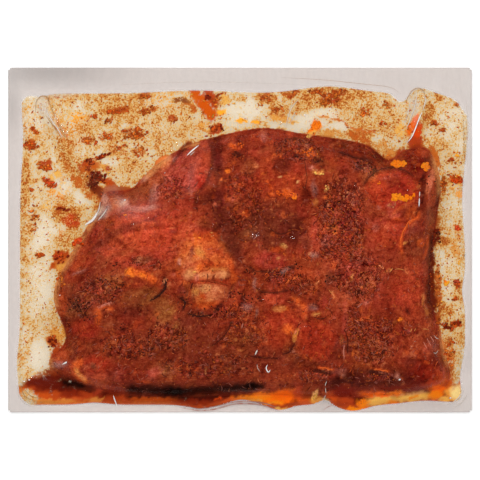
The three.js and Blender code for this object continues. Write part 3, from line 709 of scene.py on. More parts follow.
# Streaks on the meat: path, half width, colour, strength
slabStreaks = [
    # grain of the smooth muscle and the left flank
    ([(-77, -11), (-70, -3), (-64, 2), (-57, 6), (-50, 7)], 1.8, "maroon", 0.6),
    ([(-80.5, -22.5), (-75, -15), (-71, -9)], 1.6, "deepRed", 0.6),
    ([(-66, 2.5), (-61, 0), (-56, -4), (-50, -6)], 1.0, "deepRed", 0.55),
    ([(-70, -14), (-63, -8), (-56, -6)], 1.2, "brown", 0.5),
    ([(-83, -17.2), (-79.5, -16), (-76, -14.6)], 0.7, "pink", 0.6),
    ([(-72, -5), (-66, -3.5), (-60, -5)], 0.6, "rosy", 0.5),
    ([(-66, 12), (-58, 16), (-50, 16)], 1.0, "rosy", 0.5),
    ([(-56, 4), (-47, 6), (-38, 7)], 0.8, "deepRed", 0.35),
    ([(-50, -2), (-42, -3), (-34, -1)], 1.0, "brightRed", 0.4),
    ([(-52.5, -15.5), (-48, -17), (-44.5, -18.8), (-41, -21)], 1.5, "orange", 0.9),
    ([(-84, -13), (-78, -12), (-73, -8)], 2.2, "rust", 0.7),
    ([(-84, -20), (-79, -18.5)], 2, "deepRed", 0.7),
    ([(-28.5, 44.3), (-31.5, 41), (-34, 37)], 0.7, "darkMaroon", 0.7),
    ([(-24.4, 46.6), (-20.5, 48)], 0.5, "amber", 0.8),
    ([(-64, 24.2), (-56, 25.2), (-48.5, 29)], 1.1, "rust", 0.7),
    ([(-11, 51), (-10.8, 43), (-11.6, 35)], 2, "wedgeRed", 0.85),
    ([(-50, -16.6), (-47, -18)], 0.7, "brightOrange", 0.9),
    # creases
    ([(-15.5, 50), (-13, 43), (-13.5, 36), (-16.5, 28), (-21.5, 23), (-22, 15)], 0.9, "maroon", 0.75),
    ([(-37.3, -18), (-36.8, -23), (-39.5, -27), (-44.5, -30)], 0.7, "nearBlack", 0.85),
    ([(-36.5, -19.5), (-37.5, -20.6)], 0.7, "peach", 0.8),
    ([(-25.5, -36.3), (-20, -37.6), (-14, -37)], 0.7, "nearBlack", 0.65),
    ([(-8.5, -31), (-12, -34.8)], 1.0, "nearBlack", 0.65),
    ([(-29.5, -28), (-27.2, -31), (-28.4, -34.5)], 0.9, "nearBlack", 0.65),
    ([(-3, -22.5), (-5.5, -27.5)], 1.0, "nearBlack", 0.55),
    ([(1.5, -26), (2, -30.5)], 1.1, "nearBlack", 0.6),
    ([(9.2, -26), (10, -30.5)], 1.0, "darkMaroon", 0.6),
    ([(4, -13), (8, -15.4), (13, -15.6), (18, -16)], 0.8, "nearBlack", 0.6),
    ([(6, -22), (11, -25.5), (18, -26), (25, -24.5)], 0.9, "maroon", 0.65),
    ([(-15.5, -53), (-10, -48), (-4, -41.5)], 0.7, "maroon", 0.6),
    ([(3, -57), (10, -58), (20, -58.5)], 0.7, "darkMaroon", 0.7),
    ([(27, -51), (24.5, -55), (21, -56.5)], 1.1, "darkMaroon", 0.65),
    ([(29.5, -57.5), (27, -61), (25, -63)], 1.0, "darkMaroon", 0.5),
    ([(48.5, -50), (46, -54)], 0.7, "maroon", 0.7),
    ([(49.5, 43.2), (54.5, 41.6), (58.5, 40)], 0.9, "darkMaroon", 0.8),
    ([(60.5, 26.5), (64, 31.5), (70, 35), (78, 36), (86.5, 31)], 0.8, "maroon", 0.6),
    ([(38, -24.5), (39.5, -28), (37.5, -31)], 0.8, "maroon", 0.6),
    ([(82, -34), (83.5, -37)], 0.8, "nearBlack", 0.6),
    # pale and orange lines
    ([(-24.5, -21), (-20, -20), (-15, -20.4), (-9, -20.8), (-5, -20)], 0.6, "rust", 0.8),
    ([(-13.2, -19.5), (-13, -17)], 0.5, "brownRed", 0.8),
    ([(-24.5, -23), (-24.8, -28), (-23.5, -33)], 0.6, "rust", 0.7),
    ([(-22.5, 3), (-21.2, -1), (-22.5, -4)], 0.6, "brightOrange", 0.4),
    # the short pink streak at (-30, -10) is a painted highlight
    ([(-24.3, -6), (-22.8, -3.6)], 0.9, "plum", 0.7), ([(-29.6, -9), (-30.4, -11.6)], 0.6, "pink", 0.8),
    ([(7, -19.5), (7.5, -25)], 0.6, "mauve", 0.6), ([(8.6, -34), (8, -38.5)], 0.5, "greyMauve", 0.6),
    ([(20.5, -2.5), (22.5, -3.4)], 0.8, "amber", 0.8), ([(18.3, -9), (19.3, -9)], 0.6, "amber", 0.9),
    ([(28.2, -44.4), (27, -47), (26.6, -49.5)], 0.7, "glow", 0.85),
    ([(27.6, -30), (32, -32.5), (31.5, -38)], 1.2, "rustOrange", 0.7),
    ([(25, -28.6), (29, -30)], 0.7, "orange", 0.6), ([(45, -25.2), (46.6, -28.8)], 0.5, "salmon", 0.9),
    ([(39.5, -20), (38, -21.5)], 0.5, "salmon", 0.7), ([(36, -36.9), (39.6, -36.1)], 0.8, "tan", 0.85),
    ([(51.8, -30), (52, -38), (51.4, -46)], 1, "rosy", 0.55), ([(50.6, -47), (50, -51)], 0.7, "tan", 0.6),
    ([(51.6, -51.5), (51, -55), (51.6, -58.6)], 0.35, "pink", 0.85),
    ([(55.6, -52.5), (55.6, -57.2)], 0.4, "rustOrange", 0.75),
    ([(43.4, 26.6), (42.4, 24.4)], 0.6, "gold", 0.8), ([(41.5, 21), (43.4, 20.8)], 0.7, "orange", 0.8),
    ([(36.4, 33.6), (38.4, 33.2), (41, 33.8)], 0.8, "honey", 0.95),
    ([(34.6, 35.8), (36, 35.2)], 0.8, "pink", 0.8), ([(13, 29.5), (15.6, 25)], 0.6, "orange", 0.8),
    ([(-68.5, -32.6), (-66, -31.5), (-64, -30.8)], 0.45, "pink", 0.85),
    ([(-67.5, -33.5), (-63, -34)], 0.8, "orange", 0.55),
    ([(-82.6, -62), (-81.2, -65.4), (-78.4, -68.8), (-75, -70.2)], 1.6, "orange", 0.9),
    ([(-81.6, -63.5), (-79.6, -67), (-76.4, -69.6)], 0.8, "honey", 0.85),
    ([(-61.8, -67), (-60.6, -64.4)], 0.5, "pink", 0.5), ([(-46, -65), (-40, -62.5)], 0.6, "rosy", 0.4),
    ([(-16.8, -63.5), (-17, -66.5)], 0.5, "amber", 0.5),
    ([(80, -6.5), (79.3, -1), (80.2, 3.4), (82.4, 7.4), (84.6, 9.6), (88, 11),
      (88.6, 14)], 0.65, "orange", 0.85), ([(92.6, 2), (92.3, -4), (91.4, -9)], 0.6, "rustOrange", 0.7),
    ([(66, 43), (68.6, 41.5), (70.2, 38)], 1.7, "wedgeRed", 0.9),
    ([(95.7, 34.5), (93.7, 30.5), (92.7, 24)], 0.9, "highlight", 0.9),
    # the dark maroon streaks at x 93 to 99 are juice and painted shadow down the shaded right wall
    ([(98.6, 33), (98.8, 26), (97.6, 16)], 0.9, "darkMaroon", 0.85),
    ([(90.6, 33), (90.3, 25), (89.9, 17)], 0.8, "wedgeRed", 0.9),
    ([(95, 4), (94.6, -8), (94, -20), (93.4, -32)], 0.8, "darkMaroon", 0.8),
    ([(34, 51), (36.4, 52.6)], 0.5, "gold", 0.9), ([(90.4, -27), (91, -32), (93, -37)], 0.7, "tan", 0.6),
    ([(75, 13), (81, 17), (86, 20.5)], 0.8, "orange", 0.35),
    ([(38, -62.8), (42, -63.4), (46.6, -64.2)], 0.4, "orange", 0.75),
    ([(35.6, -64.6), (40, -64.9), (45, -65.7)], 0.8, "nearBlack", 0.85),
    ([(66.4, -63.8), (70, -64.4), (73.8, -64.9)], 0.4, "orange", 0.75),
    ([(63.6, -64.7), (68, -65.5), (72.6, -66.2)], 0.8, "nearBlack", 0.85),
    # ridges of the fat cap
    ([(-25, -13.6), (-21, -10.8), (-16.5, -10), (-12, -12)], 0.9, "rust", 0.6),
    ([(-16, -8.8), (-13.4, -6), (-9, -5.4)], 0.9, "rust", 0.6),
    ([(-20.6, -15.8), (-17.6, -12.6), (-13, -12.8), (-9, -13)], 1, "rustOrange", 0.7),
    ([(-10, 4.6), (-12, 1.5), (-11.6, -3)], 0.9, "rust", 0.6),
    ([(-5.4, -9), (-4.2, -13.4), (-3.6, -17)], 1, "rustOrange", 0.8),
    ([(-19.4, -26.8), (-17.2, -28.4)], 1, "orangeRed", 0.7),
    ([(-24, -4), (-23.6, -6.5), (-24.2, -9)], 0.9, "plum", 0.7),
    ([(-21, -17.6), (-21.4, -20)], 0.8, "pink", 0.6),
    ([(-21.5, -20.6), (-13.5, -20.9), (-6, -22)], 0.9, "rust", 0.8),
    # dark foot of the meat: part sauce and part painted shadow on its shaded side
    ([(45, -72), (52, -69), (60, -68)], 2.4, "darkMaroon", 0.8),
    ([(62, -73), (72, -73.6), (86, -73.6)], 1.4, "maroon", 0.8),
]

# Where the meat is flaky rather than smooth: ellipse, how flaky
flakyParts = [
    (50, 8, 14, 28, 0, 1), (58, -18, 14, 14, 0, 1), (66, -50, 14, 14, 0, 0.9), (56, -42, 5, 12, 0, 1),
    (20, -18, 10, 5, 0, 0.95), (-34, 27, 9, 7, 30, 0.8), (-68, -25, 12, 8, -10, 0.8),
    (-36, -48, 12, 9, 0, 0.8), (-55, -52, 16, 8, 0, 0.75), (-4, -35, 13, 4.6, 10, 0.8),
    (-79, -32, 6, 5, 0, 0.95), (2, 20, 12, 20, 0, 0.55), (28, 45, 16, 7, 0, 0.7), (62, 36, 8, 4, -20, 1),
    (35, -67, 10, 3, 0, 0.9), (69, -67, 8, 3, 0, 0.9), (-15, -62, 30, 8, 0, 0.5),
    (30, -22, 12, 6, 0, 0.7), (5, -45, 14, 10, 0, 0.5), (85, -45, 8, 6, 0, 0.5),
    (-45, -12, 10, 4, -20, 0.5),
]

# Small patches strewn over the meat: lattice size, seed, colours, chance and strength
slabPatches = [
    (9.0, 301, ["maroon", "rosyRed", "rustOrange", "brown", "olive", "deepRed", "plum"], 0.55, 0.6),
    (5.0, 401, ["darkMaroon", "rosy", "orange", "maroon", "nearBlack", "salmon", "red"], 0.5, 0.6),
    (3.0, 501, ["nearBlack", "salmon", "darkMaroon", "orange", "mauve", "maroon", "tan"], 0.42, 0.6),
]

slabLook = {
    "cell": 0.72,         # width of the mesh's cells
    "gap": 0.3,           # the meat lies this far under the film
    "crumb": 0.4,         # depth of the flaky relief
    "base": 0.4,          # height of its underside
    "plain": 0.28,        # how flaky it is elsewhere
    "warp": 1.3,          # how far noise pushes the edges of the colour fields
    "ragged": 0.6,        # how far its outline wanders
    "gain": (1.12, 0.88, 0.80),   # what every colour is multiplied by under the film
    "grooves": ((9.0, 0.2, 0.4), (3.6, 0.18, 0.35)),   # size of torn pieces, how they differ, seams
    # dark is the painted shade of the hollows, pale the fibres' paler colour and painted highlight
    "dark": (156, 104, 96), "pale": (308, 372, 396),   # what hollows and fibres multiply the colour by
    "spice": (226, 118, 44), "pepper": (62, 20, 20),
    "roughness": 0.6, "shine": 0.05, "relief": 0.5,
}


# Moves colours towards a named one, as far as a weight says at each place
def tintTowards(colour, weight, name, gain=1):
    colour += weight[:, None] * (gain * linear(foodColours[name]) - colour)


# Torn pieces: nearest and second nearest of jittered lattice points, and a number for the nearest
def tornPieces(x, y, size, seed):
    column, row = np.floor(x / size), np.floor(y / size)
    nearest, second = np.full(x.shape, np.inf), np.full(x.shape, np.inf)
    mark = np.zeros(x.shape)
    for shiftX in (-1, 0, 1):
        for shiftY in (-1, 0, 1):
            c, r = column + shiftX, row + shiftY
            px = (c + 0.5 + 0.45 * latticeValue(c, r, seed)) * size
            py = (r + 0.5 + 0.45 * latticeValue(c, r, seed + 50)) * size
            distance = np.hypot(x - px, y - py)
            isNearest = distance < nearest
            second = np.where(isNearest, nearest, np.minimum(second, distance))
            mark = np.where(isNearest, latticeValue(c, r, seed + 90), mark)
            nearest = np.minimum(nearest, distance)
    return second - nearest, mark


# Pieces drawn out along the grain, which leans on the left and stands nearly upright on the right
def grainPieces(x, y, size, seed):
    lean = np.where(x < 10, math.radians(38), math.radians(98))
    warpX = x + 0.3 * size * cloud(x, y, size, seed + 7)
    warpY = y + 0.3 * size * cloud(x, y, size, seed + 17)
    along = warpX * np.cos(lean) + warpY * np.sin(lean)
    across = warpY * np.cos(lean) - warpX * np.sin(lean)
    return tornPieces(along / 1.7, across, size, seed)


# How flaky the meat is at many places, from 0 to 1
def flakyAt(x, y):
    flaky = np.full(x.shape, slabLook["plain"])
    warpX, warpY = x + 2 * cloud(x, y, 6, 33), y + 2 * cloud(x, y, 6, 43)
    for *ellipse, amount in flakyParts:
        flaky = np.maximum(flaky, amount * softSpot(warpX, warpY, ellipse, 0.55, 0.6))
    return flaky


# Stains and streaks laid one over another: each edge is softened, and pushed about by noise
def layStains(x, y, colour):
    warp = slabLook["warp"]
    warpX, warpY = x + warp * cloud(x, y, 9, 61), y + warp * cloud(x, y, 9, 71)
    for *ellipse, name, strength, softness in slabStains:
        cover = strength * softSpot(warpX, warpY, ellipse, 1 - softness, 1.25 * softness)
        tintTowards(colour, cover, name)
    warpX = x + 0.25 * warp * cloud(x, y, 4, 81)
    warpY = y + 0.25 * warp * cloud(x, y, 4, 91)
    for path, width, name, strength in slabStreaks:
        distance, along = nearestOnPath(warpX, warpY, path)
        fade = np.minimum(1, 0.45 + 2 * np.sin(math.pi * along))
        tintTowards(colour, strength * fade * np.exp(-(distance / width) ** 4 * 0.5), name)


# Small patches of other colours: a warped spot round each jittered lattice point whose number calls for one
def addPatches(x, y, colour, size, seed, names, chance, strength):
    palette = np.array([linear(foodColours[name]) for name in names])
    warpX = x + 0.35 * size * cloud(x, y, 0.6 * size, seed + 3, 3)
    warpY = y + 0.35 * size * cloud(x, y, 0.6 * size, seed + 13, 3)
    column, row = np.floor(x / size), np.floor(y / size)
    for shiftX in (-1, 0, 1):
        for shiftY in (-1, 0, 1):
            c, r = column + shiftX, row + shiftY
            draws = [0.5 + 0.5 * latticeValue(c, r, seed + 100 * k) for k in range(6)]
            dx = warpX - (c + 0.1 + 0.8 * draws[0]) * size
            dy = warpY - (r + 0.1 + 0.8 * draws[1]) * size
            lean = math.pi * draws[2]
            along = (dx * np.cos(lean) + dy * np.sin(lean)) / (0.75 + 0.9 * draws[3])
            across = dy * np.cos(lean) - dx * np.sin(lean)
            share = np.hypot(along, across) / (0.16 * size * (0.6 + draws[3]))
            cover = strength * (draws[4] < chance) * (1 - smoothStep((share - 0.45) / 0.75))
            picked = palette[np.minimum((draws[5] * len(names)).astype(int), len(names) - 1)]
            colour += cover[:, None] * (picked - colour)


# Sauce in the gutter along the bottom, over the foot of the meat too: ellipse, colour, cover
gutterStains = [
    (-97, -67.6, 10, 2.6, 14, "brownRust", 0.7), (-98, -70, 12, 2.8, 10, "wedgeRed", 1),
    (-87, -72.6, 12, 3, -6, "wedgeRed", 1), (-79, -73, 9, 2, -4, "darkMaroon", 1),
    (-97, -76.4, 8, 1.6, 0, "rustFlake", 0.8), (-89, -79.6, 15, 1.3, 0, "fadeTan", 0.75),
    (-84, -76.4, 6, 1.8, 0, "deepRed", 0.8), (-80, -79, 4, 1.2, 0, "rust", 0.7),
    (-71, -79, 4, 1.6, 5, "fadeTan", 0.8), (-70.4, -75.2, 2.6, 2, 0, "rosyRed", 0.7),
    (-75, -77, 4, 1.6, 0, "rust", 0.7), (-60, -78.4, 6, 1.6, 0, "rust", 0.6),
    (-62, -75, 5, 2, 0, "deepRed", 0.7), (-44, -79, 15, 1.4, 0, "rustFlake", 0.8),
    (-48, -81, 16, 1.1, 0, "chile", 0.8), (-21, -80.4, 9, 1.6, 0, "deepRed", 0.75),
    (-19, -82.8, 6, 1, 0, "rust", 0.8), (-11, -78.6, 1.6, 1, 0, "orangeRed", 0.9),
    (-6, -80, 5, 1.6, 20, "rustOrange", 0.9), (22, -77.4, 8.5, 3.6, 10, "blaze", 0.9),
    (8, -78.2, 12, 2.2, 4, "oil", 1), (20, -79, 8, 3, 8, "blaze", 1),
    (9, -77.6, 7, 1.3, 6, "brightOrange", 0.8), (8, -80.3, 11, 0.8, -2, "honey", 0.8),
    (20, -84, 4, 0.9, 0, "gold", 0.9), (18, -80.4, 4, 1.2, -10, "oil", 0.8),
    (29, -76, 3, 4.5, 0, "rust", 0.85), (32, -80, 4.6, 3, 0, "rustOrange", 0.9),
    (35, -75, 4.5, 4, 0, "brownRust", 0.85), (38.5, -79.8, 3.4, 2.4, 0, "honey", 0.8),
    (37.6, -76.6, 1.1, 3, -22, "paleHoney", 0.9), (46, -78, 3, 3.6, 0, "rustOrange", 0.8),
    (51, -75, 7, 4, 0, "sauceRed", 0.8), (52, -80, 5, 2.6, 0, "rust", 0.9),
    (57, -84, 6, 1.6, 0, "oil", 1), (66, -76, 7, 2, 0, "blaze", 0.75),
    (70, -79.6, 9, 2.8, 4, "paleHoney", 0.85), (61.5, -80.8, 3.8, 2.4, 0, "oil", 0.9),
    (70, -77, 5, 1.2, -4, "blaze", 0.8), (76, -81, 4, 1.4, 0, "oil", 0.6),
    (86, -78, 10, 2.8, 3, "paleHoney", 0.9), (78, -73.4, 18, 2, 0, "deepRed", 0.85),
    (65, -74, 4, 1.6, 0, "brownRed", 0.7), (86, -77.6, 2.4, 0.8, 20, "oil", 0.9),
    (101, -71, 6, 4, 20, "rustFlake", 0.8), (95, -71.4, 5, 2.4, 10, "rust", 0.8),
    (98, -74, 5, 2.2, 0, "blaze", 0.9), (97, -77, 4.6, 2, 10, "oil", 0.9),
    (104, -75, 2.6, 2.6, 0, "honey", 0.9), (77, -76, 5, 1.4, 3, "oil", 0.7),
    (107.5, -76, 3.6, 4.5, 0, "cream", 0.85), (101.5, -79, 4, 1.5, 5, "paleHoney", 0.85),
    (-97, -80.4, 7, 1.5, 0, "fadeTan", 0.6),
]
# the dark juice also stands for the painted shadow at the meat's foot
gutterJuiceAndShadow = [  # path and half width of the dark juice drawn up against the meat
    ([(-88, -70.2), (-83, -70.8), (-78.5, -71.8)], 1.6),
    ([(-54, -73.8), (-47, -74.2), (-38, -74.8), (-30, -75.4)], 2.4),
    ([(-34, -75), (-26, -75), (-14, -74.4), (-4, -73.4), (6, -72.4)], 2.2),
    ([(4, -72.6), (11, -72)], 1.4),
]


# Lays the gutter's sauce over a colour at many places, and tells how far it covers
def layGutter(x, y, colour):
    covered = np.zeros_like(x)
    x, y = x + 1.3 * cloud(x, y, 1.8, 251, 3), y + 1.1 * cloud(x, y, 1.8, 257, 3)
    for *ellipse, name, cover in gutterStains:
        weight = cover * softSpot(x, y, ellipse, 0.4, 0.9)
        tintTowards(colour, weight, name, 1.25)
        covered = np.maximum(covered, weight)
    for path, width in gutterJuiceAndShadow:
        weight = 0.92 * np.exp(-0.5 * (nearestOnPath(x, y, path)[0] / width) ** 2.3)
        tintTowards(colour, weight, "juice")
        covered = np.maximum(covered, weight)
    return covered


# Stretches of the meat's edge that pale paste smears over: ellipse, amount
smearedRims = [
    (-83, -6, 8, 14, -35, 0.95), (-91, -24, 5, 12, 0, 0.95), (-73, 8, 6, 6, 0, 1),
    (-96, -62, 6, 5, 0, 0.7), (98, 34, 5, 14, 0, 0.85), (103, -50, 5, 15, 0, 1), (-11, 58, 6, 3, 0, 0.5),
    (-40.6, 36, 9, 9, 45, 0.95), (-27, 48, 4, 3, 40, 0.6),
]


# How much paste smears over the meat's edge at many places
def smearedAt(x, y):
    smeared = np.zeros_like(x)
    for *ellipse, amount in smearedRims:
        smeared = np.maximum(smeared, amount * softSpot(x, y, ellipse, 0.5, 0.6))
    return smeared


# Colour of the meat's surface at many places, and how far sauce covers it
def meatLookAt(x, y):
    flaky = flakyAt(x, y)
    colour = np.tile(linear(foodColours["base"]), (len(x), 1))
    layStains(x, y, colour)
    for size, seed, names, chance, strength in slabPatches:
        addPatches(x, y, colour, size, seed, names, chance, strength * (0.25 + 0.75 * flaky))
    shade = 1 + 0.2 * cloud(x, y, 14, 31) + (0.12 + 0.14 * flaky) * cloud(x, y, 5, 37)
    shade += 0.35 * flaky * cloud(x, y, 2.6, 41, 2)
    warmth = 0.14 * cloud(x, y, 10, 51)
    calm = 0.35 + 0.65 * flaky
    for size, strength, groove in slabLook["grooves"]:
        edge, mark = grainPieces(x, y, size, int(size))
        shade *= 1 + strength * calm * mark
        shade *= 1 - groove * (0.15 + 0.85 * flaky) * bell(edge, 0.1 * size)
        warmth += 0.12 * calm * latticeValue(np.round(mark * 1000), np.zeros_like(mark), 5)
    tone = np.stack([shade, shade ** 1.5 * (1 + warmth), shade ** 1.5 * (1 - 0.3 * warmth)], axis=1)
    colour *= tone
    smear = smearedAt(x, y) * np.exp(-(np.maximum(slabDepthAt(x, y), 0) / 1.6) ** 2)
    smear *= 0.85 + 0.5 * cloud(x, y, 2.2, 61, 2)
    tintTowards(colour, np.clip(smear, 0, 1), "tanPaste")
    sauce = layGutter(x + 0.6 * cloud(x, y, 5, 111), y + 0.6 * cloud(x, y, 5, 121), colour)
    return np.clip(colour * slabLook["gain"], 0, 1), sauce


def meatColourAt(x, y):
    return meatLookAt(x, y)[0]


# Meat: its own colours, with painted shade in the hollows and paler raised fibres that carry a painted
# highlight, with spice and pits of pepper
def makeMeatPaint():
    paint = Paint("pork_meat")
    place = paint.place()
    tint = paint.attribute("tint", "Color")
    flaky = paint.attribute("flaky")
    swirled = paint.swirled(place, 4.5, 3.2)
    strands = paint.ridges(swirled, 2.6, 3)
    fibres = paint.noise(paint.stretched(place, -38, (0.22, 1, 1)), 0.9, 3, 0.6)
    coarse = paint.noise(place, 2.6, 5, 0.68)
    fine = paint.noise(place, 0.8, 3, 0.65)
    rough = (strands - 0.5) * 0.5 + (coarse - 0.5) * 3.2 + (fine - 0.5) * 2.8
    calm = (fibres - 0.5) * 0.9 + (coarse - 0.5) * 0.9 + (fine - 0.5) * 0.7
    mottle = calm + (rough - calm) * flaky
    green = paint.add("ShaderNodeSeparateColor", {}, {0: tint}, 1)
    strength = 0.5 + flaky * 0.5
    # Painted shade darkens the low parts of the mottle, which is also the bump, and a painted highlight
    # pales the raised parts
    dark = paint.mix(1.0, tint, slabLook["dark"], "MULTIPLY")
    shaded = paint.mix((0 - mottle).between(0.0, 0.34) * strength, tint, dark)
    pale = paint.mix(1.0, tint, slabLook["pale"], "MULTIPLY")
    raised = mottle.between(0.02, 0.34) * strength * (1 - green.between(0.06, 0.3) * 0.85)
    lit = paint.mix(raised, shaded, pale)
    broad = paint.noise(place, 7, 4, 0.6)
    specks = paint.noise(place, 1.4, 3, 0.6).between(0.60, 0.66) * (0.1 + flaky * 0.6)
    spiced = paint.mix(specks * broad.between(0.42, 0.56), lit, slabLook["spice"])
    pits = paint.noise(swirled, 1.3, 3, 0.65)
    pepper = (1 - pits.between(0.38, 0.44)) * (flaky - 0.1) * (1 - broad.between(0.44, 0.58))
    peppered = paint.mix(pepper * 0.6, spiced, slabLook["pepper"])
    final = paint.mix(paint.attribute("sauce"), peppered, tint)
    bump = paint.bump(mottle, slabLook["relief"], 0.7)
    return paint.finish(paint.surface({"Base Color": final, "Roughness": slabLook["roughness"],
                                       "Specular IOR Level": slabLook["shine"], "Normal": bump}))


# Slab of meat: a closed body under the film, with flaky relief pressed into its top
def makeSlab():
    def raggedDepth(x, y):
        return slabDepthAt(x, y) + slabLook["ragged"] * cloud(x, y, 3.5, 17)

    x, y, quads = cellsInside(raggedDepth, slabLook["cell"])
    flaky = flakyAt(x, y)
    largest = slabLook["grooves"][0][0]
    edge = grainPieces(x, y, largest, int(largest))[0]
    hollow = (0.5 + 0.5 * cloud(x, y, 3.2, 21, 3)) * (0.3 + 0.7 * flaky) + 0.6 * bell(edge, 0.8)
    top = filmAt(x, y) - slabLook["gap"] - slabLook["crumb"] * hollow
    vertices, faces = closedBody(x, y, top, np.full_like(x, slabLook["base"]), quads)
    tint, sauce = meatLookAt(x, y)
    return addPiece("pork_slab", vertices, faces, makeMeatPaint(),
                    [("tint", np.tile(tint, (2, 1))), ("flaky", np.tile(flaky, 2)),
                     ("sauce", np.tile(sauce, 2))])


slab = makeSlab()
print("slab of meat", len(slab.data.polygons), "faces")

# Flakes of chile stuck to the film: clusters given as ellipse, count, colours
flakeClusters = [
    (-53, 53, 6, 2.4, -5, 46, ("rustFlake", "darkFlake", "flake")),
    (-66, 51, 3.6, 1.9, 0, 22, ("rustFlake", "flake")),
    (-76, 49.3, 4, 1.5, -5, 20, ("rustFlake", "flake")),
    (-59.5, 64.6, 5, 1.4, 10, 22, ("darkFlake", "flake", "rustFlake")),
    (-46, 64.2, 4, 1.4, 15, 14, ("darkFlake", "flake")),
    (-47, 71.3, 3, 1.6, 0, 12, ("darkFlake", "flake")), (-72, 61.6, 1.7, 1.2, 0, 7, ("rustFlake",)),
    (-65, 59, 2.4, 1.1, 8, 8, ("rustFlake", "darkFlake", "flake")),
    (-49.5, 43.5, 3.4, 2.2, 0, 18, ("rustFlake", "flake")),
    (-60, 46, 4, 3, 0, 18, ("flake", "rustFlake")), (-70, 41.3, 7, 0.8, 20, 24, ("rustFlake", "deepRed")),
    (-103.5, 47.2, 2.8, 2, -20, 20, ("rustFlake", "flake")),
    (-96.5, 37.5, 3, 2.2, -10, 22, ("rustFlake", "flake")),
    (-94.8, 28.4, 3.4, 1.4, -25, 20, ("rustFlake", "brightRed")),
    (-102.3, 54.6, 2, 0.7, -30, 8, ("rustFlake",)), (-103.5, 25, 1.5, 1.2, -40, 6, ("rustFlake",)),
    (-102, 9, 2.4, 7, 0, 22, ("flake", "darkFlake")),
    (-88.9, -8.4, 3, 2.5, -10, 30, ("rustFlake", "deepRed", "brightRed")),
    (-99.6, -7.9, 1.7, 1.1, 0, 8, ("orange", "rustFlake")),
    (-93.5, -50, 2.5, 2.5, 0, 26, ("rustFlake", "deepRed")),
    (-88.5, -19, 1.5, 4, 10, 14, ("rustFlake", "flake")), (-87.4, 15.6, 2.4, 0.4, -3, 9, ("deepRed",)),
    (-80, -1.2, 2.2, 1.5, 0, 14, ("orangeRed", "brightRed")),
    (-70, 31, 3.4, 3, 0, 20, ("deepRed", "maroon")),
    (-73.5, 27.5, 3, 4, 10, 16, ("clot", "brown", "maroon")),
    (-75.5, 37, 3.4, 2.2, 10, 16, ("rustFlake", "brownRed")),
    (-33, 60, 1.7, 1.5, 0, 9, ("rustFlake", "darkFlake", "flake")),
    (-12, 69.5, 3, 3.5, 30, 14, ("darkFlake", "flake")), (-15.6, 71, 1.2, 1.6, 0, 8, ("deepRed",)),
    (-12, 55.8, 3, 1.7, 10, 18, ("rustFlake", "deepRed")),
    (13, 70.6, 2.6, 1.4, 0, 12, ("darkFlake", "flake")),
    (18.5, 64.6, 2.6, 1.6, 0, 12, ("darkFlake", "flake")),
    (27, 72.4, 3, 1.6, 30, 12, ("rustFlake", "darkFlake", "flake")),
    (43.5, 70, 4.6, 2.4, 0, 40, ("rustFlake", "darkFlake", "flake")),
    (38, 73.8, 3.6, 1, 0, 12, ("darkFlake", "flake")),
    (49.5, 73.2, 3.6, 1.2, 0, 14, ("darkFlake", "flake")), (62, 63, 3, 2, 0, 14, ("rustFlake", "flake")),
    (74, 67, 2.4, 1.4, -30, 10, ("flake", "rustFlake")), (70.5, 57.7, 1.4, 1, 0, 6, ("rustFlake",)),
    (97, 57.8, 1.5, 1, 0, 6, ("darkFlake", "flake")), (100.3, 54.5, 1.8, 0.7, -15, 6, ("darkFlake",)),
    (107.9, 67, 1, 1, 0, 5, ("flake",)), (107, 30, 2.6, 1.7, -12, 26, ("rustFlake", "orangeRed")),
    (104.6, 40, 1.4, 0.9, 10, 6, ("rustFlake",)), (107.7, 6.4, 1.5, 0.9, -45, 8, ("brightRed",)),
    (101.3, 27, 1.4, 3.4, 0, 14, ("darkFlake", "flake")),
    (97.5, 1.5, 2.2, 3, 0, 20, ("darkMaroon", "deepRed")),
    (107.4, -21.5, 1.4, 2.1, 0, 14, ("rosy", "rustFlake")),
    (107.6, -41.5, 2.2, 1.4, 5, 20, ("rustFlake", "deepRed")),
    (102.4, -42.9, 2.1, 0.7, -25, 12, ("deepRed", "rustFlake")),
    (105.2, -44, 1.2, 0.7, 30, 5, ("rustFlake",)), (98.4, -27, 1.1, 12, 0, 26, ("darkFlake", "flake")),
    (106.5, -29.5, 1.2, 0.7, 20, 5, ("rustFlake",)), (104, -55, 3, 7, 0, 26, ("flake", "rustFlake")),
]

